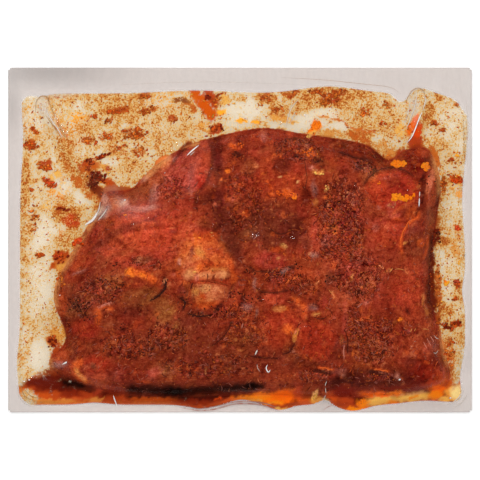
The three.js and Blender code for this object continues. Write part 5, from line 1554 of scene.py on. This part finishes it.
# Curds of orange fat: clusters given as ellipse, count, size, colours
curdClusters = [
    (78.5, 37.8, 3.4, 1.4, 5, 30, 1, ("curd", "oil")), (92, 36.5, 1.8, 1.8, 0, 18, 1, ("curd", "oil")),
    (107.5, 42.3, 1.1, 1.3, 0, 6, 0.6, ("yellowOil",)), (77.3, 21, 2.5, 1.6, -5, 26, 1, ("curd",)),
    (82.4, 20.6, 2.5, 1.3, 8, 20, 0.9, ("curd", "oil")), (85.4, 22, 1, 0.8, 0, 5, 0.6, ("oil",)),
    (68.5, 28.3, 0.8, 0.9, 0, 3, 0.6, ("oil",)), (39, 33.2, 2.6, 0.8, -6, 10, 0.6, ("peach", "gold")),
    (37, 34.5, 1.2, 1, 0, 4, 0.5, ("mauve", "pink")), (100, 32.5, 1, 0.7, 0, 4, 0.5, ("yellowOil",)),
    (107, 32, 2, 0.8, 0, 7, 0.5, ("yellowOil", "gold")),
    (37.8, 57.3, 2.2, 2, 0, 16, 0.9, ("oil", "brightOrange")),
    (33.8, 51.2, 1.4, 0.7, 20, 5, 0.5, ("gold",)),
    (102, -21.3, 1.4, 1.1, 0, 6, 0.8, ("yellowOil", "oil")),
    (108.3, -11.7, 1, 1.1, 0, 5, 0.7, ("yellowOil", "gold")),
    (20.5, 23, 6, 2.4, -22, 18, 0.5, ("orange", "rustOrange")),
    (26, 21.5, 2, 1.4, 0, 8, 0.6, ("brightOrange", "orange")),
    (35, 43.5, 4, 2.4, 0, 12, 0.5, ("orange", "brightOrange")),
    (-1, 46.5, 4, 1.6, 10, 12, 0.5, ("orange", "rustOrange")),
    (-56.8, 12.3, 0.5, 0.5, 0, 2, 0.5, ("oil",)), (37.6, -76.6, 0.8, 2.6, -22, 8, 0.6, ("gold", "amber")),
    (60.5, -80, 2, 1, 10, 7, 0.6, ("oil", "brightOrange")),
    (79, -39, 1, 0.9, 0, 4, 0.6, ("brightOrange",)),
    (51.5, 22, 2.6, 2, 0, 10, 0.5, ("mauve", "pink", "rosy")),
    (75, 17.5, 2, 1.4, 0, 8, 0.5, ("mauve", "pink")),
    (63, 34.5, 3, 1.6, 0, 12, 0.5, ("rosy", "pink", "mauve")),
    (42.5, 26, 0.5, 1.2, -20, 3, 0.5, ("gold",)),
]


def addCurds():
    rng = np.random.default_rng(15)
    places, sizes, tints = [], [], []
    for *ellipse, count, size, names in curdClusters:
        shares = np.sqrt(rng.random(count))
        places.append(placesInEllipse(ellipse, shares, rng.uniform(0, math.tau, count)))
        sizes.append(size * rng.uniform(0.55, 1.15, count))
        tints.append(pickTints(names, count, rng, 0.12, (1.15, 1, 0.6)))
    places, size, tints = np.concatenate(places), np.concatenate(sizes), np.concatenate(tints)
    radii = np.stack([size * rng.uniform(1, 1.4, len(size)), size, size * 0.55], axis=1)
    turns = rng.uniform(0, math.tau, len(size))
    paint = makeLumpPaint("fat_curd", 0.8, 0.35, 0.35, 0.1)
    addLumps("fat_curds", places, radii, turns, tints, paint, rng, 0.1, rings=4, sides=8, rough=0.16)


addCrumbs()
addShreds()
addGrains()
addFlakes()
addCurds()

# Film: how much haze is added, by ellipse and amount; on the rim it is the film's milkiness, over the meat
# the spots are painted sheen and glare
filmHazeAndSheen = [
    (-49, 15, 16, 8, 5, 0.035), (-57, 14.5, 7, 5, -20, 0.05), (-47, 9, 9, 2.4, -4, 0.03),
    (-52, 12, 4, 1.2, -10, 0.06), (-63, 24, 4, 4, 0, 0.05), (-59, 18, 3.5, 5, 0, 0.08),
    (-24, 32, 3, 12, -20, 0.04), (-57.3, 18.6, 2.2, 1.4, 20, 0.2), (-52.5, 16.2, 7, 1.7, -12, 0.04),
    (-44.5, 15.6, 5, 1.5, 12, 0.04), (-43, 22, 2.2, 6.5, -8, 0.05), (-67.4, 20.5, 2.2, 4.5, 10, 0.06),
    (-70.6, 13, 1.8, 4.5, -38, 0.2), (21.8, -15, 2.6, 1.1, 0, 0.12), (7, -21, 1, 3.2, 0, 0.08),
    (-30, -11, 1.1, 2, 0, 0.08), (35, -33.5, 3, 2, 0, 0.05), (-89.5, -61.5, 5, 1.9, 10, 0.16),
    (-67, 14, 1.6, 6, -35, 0.3), (78, -68, 2, 2, 0, 0.08), (96, -52, 3, 5, 20, 0.03),
    (3.5, -33, 4, 2, 0, 0.08), (-97, 65, 4, 7, 15, 0.3), (86.5, 65, 3.4, 9, 10, 0.25),
    (-92, 73, 16, 3, 0, 0.25), (-112, 60, 6, 20, 0, 0.15), (-70, 83, 46, 8, 0, 0.3),
    (0, -85.5, 112, 3, 0, -0.2), (94.5, 29, 1, 5, -14, 0.05),
]
# painted shade on the top left of the rim, painted light along the bottom where the pouch shades it
filmLightAndShade = [  # ellipse, how much paler or darker the milky film is there
    (-92, 84, 50, 10, 0, -0.5), (-113, 66, 6, 18, 0, -0.3), (-30, -85, 62, 5, 0, 0.33),
]
filmLook = {
    "cell": 0.95,
    "wrinkle": 0.35,      # depth of the wrinkles that the light catches
    "shine": 0.022,       # gloss seen straight on
    "edgeShine": 0.15,    # more of it at a glance
    "rimHaze": 0.56,      # how milky the film is where it is welded, over the paste and over the meat
    "pocketHaze": 0.003,
    "slabHaze": 0.001,
    "tone": 0.667,        # from the dull milky colour to the pale one
    "dull": (168, 159, 155),
    "pale": (236, 224, 217),
}


# Clear film: see-through with a gloss that grows at a glance, and milky where there is haze, which over the
# meat is painted sheen
def makeFilmPaint():
    paint = Paint("clear_film")
    place = paint.place()
    haze = paint.attribute("haze")
    wrinkle = paint.noise(paint.stretched(place, 20, (1, 0.35, 1)), 5, 4, 0.55)
    ripple = paint.noise(place, 1.7, 3, 0.55)
    bump = paint.bump(wrinkle * 0.6 + ripple * 0.4, filmLook["wrinkle"], 0.6)
    facing = paint.add("ShaderNodeLayerWeight", {}, {"Blend": 0.5}, "Facing")
    shine = filmLook["shine"] + facing ** 5 * filmLook["edgeShine"]
    clear = paint.add("ShaderNodeBsdfTransparent", {}, {"Color": (1, 1, 1, 1)})
    gloss = paint.add("ShaderNodeBsdfGlossy", {}, {"Color": (1, 1, 1, 1), "Roughness": 0.08, "Normal": bump})
    grey = paint.mix(paint.attribute("tone"), filmLook["dull"], filmLook["pale"])
    milk = paint.surface({"Base Color": grey, "Roughness": 0.4, "Specular IOR Level": 0.2, "Normal": bump})
    glossy = paint.add("ShaderNodeMixShader", {}, {0: shine, 1: clear, 2: gloss})
    cloudy = haze * (0.75 + wrinkle * 0.5)
    return paint.finish(paint.add("ShaderNodeMixShader", {}, {0: cloudy, 1: glossy, 2: milk}))


# Film skin: one closed bag, its top the height field and its underside flat
def makeFilm():
    x, y, quads = cellsInside(rimDepthAt, filmLook["cell"])
    top = filmAt(x, y)
    welded = smoothStep(pocketDepthAt(x, y) / 1.6 + 0.5)
    onSlab = smoothStep(slabDepthAt(x, y) / 3)
    haze = filmLook["rimHaze"] + (filmLook["pocketHaze"] - filmLook["rimHaze"]) * welded
    haze += (filmLook["slabHaze"] - filmLook["pocketHaze"]) * onSlab
    topHaze = haze.copy()
    warpX, warpY = x + 1.5 * cloud(x, y, 4, 211), y + 1.5 * cloud(x, y, 4, 221)
    for *ellipse, amount in filmHazeAndSheen:
        topHaze += amount * softSpot(warpX, warpY, ellipse, 0, 1.2)
    tone = np.full(x.shape, filmLook["tone"])
    for *ellipse, amount in filmLightAndShade:
        tone += amount * softSpot(x, y, ellipse, 0, 1.2)
    vertices, faces = closedBody(x, y, top, np.zeros_like(x), quads)
    piece = addPiece("clear_film", vertices, faces, makeFilmPaint(),
                     [("haze", np.clip(np.concatenate([topHaze, haze * 0.8]), 0, 1)),
                      ("tone", np.clip(np.concatenate([tone, tone]), 0, 1))])
    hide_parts("pouch")
    return piece


film = makeFilm()
print("clear film", len(film.data.polygons), "faces")


# Smooth open curve through points, one place every stretch of the given length
def openCurve(points, stretch):
    points = np.asarray(points, float)
    before = 2 * points[0] - points[1]
    after = 2 * points[-1] - points[-2]
    knots = np.concatenate([[before], points, [after]])
    count = max(4, int(np.linalg.norm(np.diff(points, axis=0), axis=1).sum() / stretch))
    position = np.linspace(0, len(points) - 1 - 1e-9, count)
    first = position.astype(int)
    w = (position - first)[:, None]
    a, b, c, d = (knots[first + shift] for shift in range(4))
    return 0.5 * (2 * b + (c - a) * w + (2 * a - 5 * b + 4 * c - d) * w ** 2
                  + (3 * b - a - 3 * c + d) * w ** 3)


# Ridge of film along a path: rings whose radius swells from nothing to full and back
def ridgeTube(path, radius, lift, sides=8):
    line = openCurve(path, 0.5)
    count = len(line)
    run = np.gradient(line, axis=0)
    run /= np.linalg.norm(run, axis=1, keepdims=True)
    side = np.stack([-run[:, 1], run[:, 0]], axis=1)
    along = np.linspace(0, 1, count)
    size = radius * np.sqrt(np.clip(np.sin(math.pi * np.clip(along, 0.004, 0.996)), 0, 1))
    angle = 2 * math.pi * np.arange(sides) / sides
    across = size[:, None] * np.cos(angle)
    up = size[:, None] * np.sin(angle)
    x = line[:, :1] + side[:, :1] * across
    y = line[:, 1:] + side[:, 1:] * across
    z = filmAt(x, y) + lift + up
    vertices = np.stack([x, y, z], axis=-1).reshape(-1, 3)
    ring = np.arange((count - 1) * sides).reshape(count - 1, sides)
    after = np.roll(ring, -1, axis=1)
    quads = np.stack([ring, ring + sides, after + sides, after], axis=-1).reshape(-1, 4)
    return vertices, quads


# Several tubes as one mesh: each one's faces count on from the vertices before it
def joinTubes(tubes):
    vertices, faces, shift = [], [], 0
    for tubeVertices, tubeFaces in tubes:
        vertices.append(tubeVertices)
        faces.append(tubeFaces + shift)
        shift += len(tubeVertices)
    return np.concatenate(vertices), np.concatenate(faces)


# Sharp folds of film with their highlights painted on: path, radius, colour, cover; the glint, milk and pink
# strokes are painted highlights
filmFoldsAndHighlights = [
    # the tunnels in the top left and top right corners
    ([(-101.5, 62.5), (-101, 68.5), (-98.5, 71.3), (-95.5, 70.5), (-93.5, 65.5),
      (-90.5, 59)], 0.3, "goldLine", 0.5),
    ([(-90.5, 59), (-88, 54), (-86.3, 50.5)], 0.3, "goldLine", 0.8),
    ([(-97, 66), (-93.5, 59.5), (-90, 54.5), (-88, 50.5)], 0.35, "milk", 0.6),
    ([(-99.5, 67), (-98.6, 62)], 0.25, "milk", 0.4),
    ([(-96.5, 62), (-92.5, 56.5), (-88.3, 50)], 0.2, "goldLine", 0.6),
    ([(82, 67.5), (83.3, 71), (85.6, 74.2), (88.5, 75.3), (91, 74), (91.7, 70.5)], 0.3, "goldLine", 0.45),
    ([(91.6, 72), (91.8, 68.5), (90.5, 64)], 0.3, "milk", 0.6),
    ([(90.3, 63.4), (88.7, 60), (87, 55.5), (85, 51), (82.5, 48)], 0.3, "glint", 0.8),
    ([(87.6, 74), (87, 68), (84.5, 60), (82.5, 55.5)], 0.3, "milk", 0.5),
    ([(84.5, 71), (83.6, 64), (81.5, 58)], 0.2, "milk", 0.4),
    # strokes on the pocket's top and on the notch of the meat
    ([(29.3, 70), (26.2, 66.5), (24.3, 62.5), (22.3, 55.3)], 0.22, "milk", 0.6),
    ([(27.5, 64), (25, 58)], 0.18, "milk", 0.5),
    ([(-69.2, 19), (-70.2, 14.5), (-72.5, 10.8)], 0.35, "milk", 0.6),
    ([(-70.5, 14), (-73, 10), (-77, 7.4)], 0.65, "glint", 0.8),
    ([(-65.8, 15.6), (-68, 12.5), (-70.5, 9.6)], 0.35, "milk", 0.6),
    ([(-26.3, 41.8), (-23.5, 44.5), (-20.3, 47.1)], 0.36, "glint", 0.9),
    ([(-24.8, 41.8), (-22.4, 44)], 0.2, "milk", 0.6),
    # rims of the pocket
    ([(112.2, 69), (112.8, 58), (112.4, 46), (113, 34)], 0.25, "milk", 0.4),
    ([(110.8, 60), (111.4, 40)], 0.15, "goldLine", 0.4),
    ([(103, -82), (108, -78.6), (111.2, -73.3)], 0.3, "milk", 0.7),
    ([(105.5, -83.5), (110.2, -80.4), (113, -76)], 0.25, "milk", 0.5),
    ([(-110.8, -71), (-109.5, -77), (-105, -81.5), (-99.5, -82.6)], 0.3, "milk", 0.6),
    ([(-108.8, -72.5), (-106.5, -77.5), (-101, -80.2)], 0.2, "goldLine", 0.6),
    ([(-107, -74), (-103.5, -77.4), (-98, -78.6)], 0.2, "goldLine", 0.5),
    ([(-62.8, -77), (-62, -79.6), (-61, -82.4)], 0.3, "glint", 0.85),
    ([(42.8, -69.8), (42, -72.2)], 0.22, "milk", 0.6), ([(42.2, -73), (42.6, -76)], 0.2, "milk", 0.5),
    ([(42.4, -76.8), (41.6, -79.2)], 0.22, "milk", 0.6),
    # small folds and glints on the meat
    ([(88.7, 24), (88.6, 21.4)], 0.26, "milk", 0.7), ([(88.6, 20.8), (88.4, 16.4)], 0.28, "glint", 0.75),
    ([(8.4, -61.2), (8.8, -63.4), (10, -65)], 0.22, "milk", 0.25),
    ([(0.6, -43.8), (1.6, -41)], 0.4, "pink", 0.6),
    ([(13.6, -61.6), (12.9, -63.3), (14, -65.3), (15, -64)], 0.3, "glint", 0.8),
    ([(96, -47.2), (97.3, -48.6), (98.5, -49)], 0.2, "milk", 0.5),
    ([(95.6, -55.6), (97, -56), (98, -54.5)], 0.2, "milk", 0.5),
    ([(-88, -61.6), (-86.3, -60.7), (-85.6, -60.2)], 0.4, "glint", 0.8),
    ([(-93, -60.6), (-90, -61.4)], 0.3, "pink", 0.5), ([(-91, 34.9), (-91.8, 34.3)], 0.3, "milk", 0.6),
    ([(31.9, 62.2), (32.5, 61.6)], 0.4, "glint", 0.9),
    ([(-107.4, -70.3), (-106.6, -69.9)], 0.35, "glint", 0.9),
    ([(-105, -69.4), (-104, -69.2)], 0.35, "glint", 0.9),
    ([(103.8, -78.5), (104.8, -78.2)], 0.4, "glint", 0.9),
    ([(110, -71.7), (110.2, -70.7)], 0.35, "glint", 0.8),
    ([(110, -64.5), (110.3, -63.8)], 0.25, "glint", 0.6),
    ([(100.5, -18.6), (100.9, -18.1)], 0.3, "glint", 0.8),
    ([(-57.4, 19.5), (-56.5, 20.1)], 0.4, "glint", 0.6),
    ([(78.4, -69.3), (79.4, -68.7)], 0.45, "glint", 0.9),
    ([(-51.4, 28), (-50.7, 28.5)], 0.25, "milk", 0.6), ([(-37.6, 33), (-36.8, 33.6)], 0.22, "milk", 0.5),
    ([(-89.7, -27.6), (-88.8, -27.2)], 0.3, "milk", 0.7),
    ([(7.4, -56.8), (8.6, -54.2)], 0.4, "milk", 0.6),
    # wrinkles of the welded rim
    ([(20, 80.6), (40, 79.5), (60, 77.5), (74, 75.8), (80, 72.5)], 0.12, "goldLine", 0.35),
    ([(-60, 77), (-20, 78.5), (30, 77.2)], 0.12, "milk", 0.35),
]

# Welded wrinkles that caught pink juice along the bottom seal: path, radius
sealThreads = [
    ([(-30, -82.9), (-25, -84), (-19.8, -84.6), (-14, -84.2), (-9, -83), (-4, -81.6), (0, -81.2),
      (6, -81.3), (11, -82), (16, -83.6), (21, -85)], 0.4),
    ([(-28, -82), (-20, -83.6), (-10, -82), (-4, -80.6), (2, -80.2), (8, -80.4), (13, -81.2),
      (18, -83)], 0.3),
    ([(41, -84.6), (44, -82.6), (47, -81.8)], 0.2),
]


# A colour or value for each tube, repeated for each of its vertices
def perTube(values, tubes):
    return np.repeat(values, [len(tube[0]) for tube in tubes], axis=0)


# Ridges of film whose colour paints the highlight on each fold
def makeRidges():
    paths, radii, names, covers = zip(*filmFoldsAndHighlights)
    tubes = [ridgeTube(path, radius, 0.02) for path, radius in zip(paths, radii)]
    tints = perTube([linear(foodColours[name]) for name in names], tubes)
    covers = perTube(covers, tubes)
    vertices, faces = joinTubes(tubes)
    paint = Paint("film_ridge")
    ripple = paint.noise(paint.place(), 1.7, 3, 0.55)
    shader = paint.surface({
        "Base Color": paint.attribute("tint", "Color"), "Roughness": 0.25,
        "Alpha": paint.attribute("cover") * (0.6 + ripple * 0.8), "Normal": paint.bump(ripple, 0.1, 0.5)})
    return addPiece("film_ridges", np.clip(vertices, pouchLow, pouchHigh), faces, paint.finish(shader),
                    [("tint", tints), ("cover", covers)])


threadLook = {"pale": (214, 180, 172), "pink": (186, 120, 104)}


def makeThreads():
    vertices, faces = joinTubes([ridgeTube(path, radius, -0.05) for path, radius in sealThreads])
    vertices = np.clip(vertices, pouchLow, pouchHigh)
    paint = Paint("juice_thread")
    place = paint.place()
    mottle = paint.noise(place, 2.5, 3, 0.6)
    colour = paint.mix(mottle.between(0.35, 0.65), threadLook["pale"], threadLook["pink"])
    shader = paint.surface({"Base Color": colour, "Roughness": 0.4, "Alpha": 0.45 + mottle * 0.3})
    return addPiece("seal_threads", vertices, faces, paint.finish(shader))


# Cracks and strands of the meat: path, radius, colour
meatLines = [
    ([(-21.5, -20.2), (-17, -20.1), (-13.5, -20.5), (-9.5, -21.3), (-6, -22.3)], 0.4, "crease"),
    ([(-13.6, -20.4), (-13.4, -18.6), (-12, -16.8)], 0.3, "crease"),
    ([(-23.2, -21), (-24, -22.5), (-24.6, -24.5)], 0.35, "maroon"),
    ([(-23, -6), (-22, -7.4)], 0.4, "salmon"), ([(-23.4, -15.8), (-21.4, -15.7)], 0.6, "honey"),
    ([(-20.8, 1.4), (-19, 0.6)], 0.6, "brightOrange"), ([(-14.6, 3.7), (-13.2, 3.4)], 0.4, "tan"),
    ([(-14.4, 1.9), (-13.6, 1.6)], 0.4, "tan"), ([(-22.4, -1.8), (-20.6, -0.8)], 0.4, "orange"),
    # the short pink strand at (-30, -12) is a painted highlight
    ([(-30.4, -11.4), (-29.4, -12.2)], 0.5, "pink"),
    ([(-37, -19), (-36.6, -22.6), (-39.5, -27), (-45, -30.4)], 0.32, "nearBlack"),
    ([(-4, -41), (-8, -47.5), (-14, -52.4)], 0.26, "darkMaroon"),
    ([(3, -57), (10, -58), (20, -58.5)], 0.16, "darkMaroon"),
    ([(36, -64.8), (40, -65.3), (44, -66.2)], 0.4, "darkMaroon"),
    ([(64, -65), (68, -65.9), (72, -66.6)], 0.4, "darkMaroon"),
    ([(49.5, 43.2), (54.5, 41.6), (58.5, 40)], 0.28, "darkMaroon"),
    ([(4, -13), (8, -15.4), (13, -15.8), (18, -16.6)], 0.16, "maroon"),
    ([(60.5, 26.5), (64, 31.5), (70, 35), (78, 36), (86.5, 31)], 0.2, "maroon"),
    ([(6, -22), (11, -25.5), (18, -26), (25, -24.5)], 0.16, "maroon"),
    ([(-25.5, -36.3), (-20, -37.6), (-14, -37)], 0.26, "nearBlack"),
    ([(27, -51), (24.5, -55), (21, -56.5)], 0.28, "darkMaroon"),
    ([(-30, -28), (-27.2, -31), (-28.4, -35)], 0.24, "nearBlack"),
    ([(51.6, -44), (53.2, -50), (53, -56)], 0.24, "darkMaroon"),
    ([(36, -37.6), (39, -39), (43, -38)], 0.22, "maroon"),
    ([(-56, -46), (-58, -50), (-55, -54)], 0.22, "darkMaroon"),
    ([(-72, -31), (-76, -35), (-78, -39)], 0.24, "darkMaroon"),
    ([(32.5, 44), (32, 38), (33, 31), (32, 24)], 0.16, "maroon"),
    ([(14, 6), (20, 3), (26, 5)], 0.22, "darkMaroon"), ([(45, -25.2), (46.6, -28.8)], 0.34, "salmon"),
    ([(43.8, -24.4), (45.4, -26.8)], 0.2, "tan"), ([(28, -44.2), (26.8, -46.6)], 0.4, "highlight"),
    ([(51.6, -51.5), (51, -55), (51.6, -58.6)], 0.22, "pink"),
    ([(39, -62.9), (42, -63.4), (46, -64.2)], 0.2, "orange"),
    ([(67, -63.9), (70, -64.4), (73.4, -64.9)], 0.2, "orange"),
    ([(-83, -17.2), (-79.5, -16), (-76, -14.6)], 0.24, "mauve"),
    ([(-68.5, -32.6), (-66, -31.5), (-64, -30.8)], 0.26, "pink"),
    ([(39.5, -20), (38, -21.5)], 0.3, "salmon"),
    ([(79.4, -4), (79.3, -1), (80.2, 3.4), (82.4, 7.4), (84.6, 9.6), (88, 11)], 0.26, "orange"),
    ([(73.6, -16), (75.4, -13.8)], 0.35, "tan"), ([(76, -14.6), (79, -14.2), (82, -15)], 0.2, "tan"),
    ([(68.4, -12.4), (69.8, -13)], 0.5, "salmon"), ([(70.4, -14.2), (71, -13.2)], 0.35, "salmon"),
    ([(85, -43.4), (84, -45.6)], 0.25, "tan"), ([(87, -43.6), (86, -45)], 0.25, "tan"),
    ([(90, -44), (93.6, -44.4)], 0.22, "tan"), ([(20.5, -2.5), (22.5, -3.4)], 0.3, "tan"),
    ([(36, -37), (39.6, -36.2)], 0.45, "tan"), ([(57.6, -33.5), (60.6, -31)], 0.35, "mauve"),
    ([(90.6, -50), (92.4, -53.6)], 0.2, "pink"), ([(92.4, -48.4), (94.4, -52.6)], 0.2, "pink"),
    ([(94, -47.4), (96, -50.4)], 0.18, "pink"),
]


def makeMeatLines():
    look = {"wander": 0.35, "sunk": 0.3, "gain": 1.25}
    tubes = []
    for path, radius, name in meatLines:
        line = openCurve(path, 0.8)
        push = np.stack([cloud(*line.T, 2.2, 231, 2), cloud(*line.T, 2.2, 241, 2)], axis=1)
        tubes.append(ridgeTube(line + look["wander"] * push, radius, -look["sunk"], sides=6))
    tints = look["gain"] * perTube([linear(foodColours[name]) for path, radius, name in meatLines], tubes)
    vertices, faces = joinTubes(tubes)
    paint = makeLumpPaint("meat_line", 0.7, 0.5, 0.5, 0.1)
    return addPiece("meat_lines", vertices, faces, paint, [("tint", tints)])


ridges = makeRidges()
threads = makeThreads()
lines = makeMeatLines()
for piece in (ridges, threads, lines):
    print(piece.name, len(piece.data.polygons), "faces")

# Floor, soft studio lights and a camera straight above
studio = {
    "floorSize": 3.0, "floorGap": 0.0003, "floorColour": (0.9, 0.9, 0.9, 1), "floorGlow": 0.2,
    "backdrop": (1, 0.99, 0.98, 1), "ambient": 0.10,
}
softLights = [  # azimuth it comes from, elevation, distance, size, watts
    (115, 52, 0.9, 0.60, 5.4),
    (20, 42, 1.0, 0.50, 3.3),
    (215, 42, 1.0, 0.50, 2.9),
    (305, 40, 1.0, 0.50, 2.3),
]
glintLights = [  # narrow lights that only draw small highlights on the film
    (120, 58, 1.0, 0.03, 0.16),
    (40, 48, 1.0, 0.03, 0.10),
]
view = {"lens": 600, "sensor": 36, "pixelsAcross": 480, "pouchPixels": 463.6}


# Pale floor just under the pouch
def makeStage():
    half = studio["floorSize"] / 2
    mesh = bpy.data.meshes.new("floor")
    corners = [(-half, -half, 0), (half, -half, 0), (half, half, 0), (-half, half, 0)]
    mesh.from_pydata(corners, [], [(0, 1, 2, 3)])
    floor = bpy.data.objects.new("floor", mesh)
    bpy.context.scene.collection.objects.link(floor)
    floor.location.z = -studio["floorGap"]
    floor.visible_glossy = False
    paint = Paint("pale_floor")
    mesh.materials.append(paint.finish(paint.surface({
        "Base Color": studio["floorColour"], "Roughness": 0.9, "Specular IOR Level": 0.0,
        "Emission Color": (1, 1, 1, 1), "Emission Strength": studio["floorGlow"]})))


# Square light that faces the middle from an azimuth, an elevation and a distance
def addLight(name, azimuth, elevation, distance, size, watts):
    data = bpy.data.lights.new(name, "AREA")
    data.size = size
    data.energy = watts
    light = bpy.data.objects.new(name, data)
    bpy.context.scene.collection.objects.link(light)
    turn, lift = math.radians(azimuth), math.radians(elevation)
    light.location = (distance * math.cos(lift) * math.cos(turn),
                      distance * math.cos(lift) * math.sin(turn), distance * math.sin(lift))
    light.rotation_euler = (math.pi / 2 - lift, 0, turn + math.pi / 2)
    return light


def makeLights():
    world = bpy.data.worlds.new("studio")
    bpy.context.scene.world = world
    world.use_nodes = True
    backdrop = world.node_tree.nodes["Background"]
    backdrop.inputs["Color"].default_value = studio["backdrop"]
    backdrop.inputs["Strength"].default_value = studio["ambient"]
    world.cycles_visibility.glossy = False
    for index, values in enumerate(softLights):
        addLight(f"soft_light_{index}", *values).visible_glossy = False
    for index, values in enumerate(glintLights):
        addLight(f"glint_light_{index}", *values)


# Long lens straight above, as far off as makes the pouch fill its share of the picture's width
def makeCamera():
    data = bpy.data.cameras.new("camera")
    data.lens = view["lens"]
    data.sensor_width = view["sensor"]
    camera = bpy.data.objects.new("camera", data)
    bpy.context.scene.collection.objects.link(camera)
    seenWidth = pouch["length"] * metresPerMillimetre * view["pixelsAcross"] / view["pouchPixels"]
    camera.location = (0, 0, seenWidth * view["lens"] / view["sensor"])
    bpy.context.scene.camera = camera


makeStage()
makeLights()
makeCamera()
bpy.context.scene.view_settings.view_transform = "Standard"
print("stage, lights and camera")
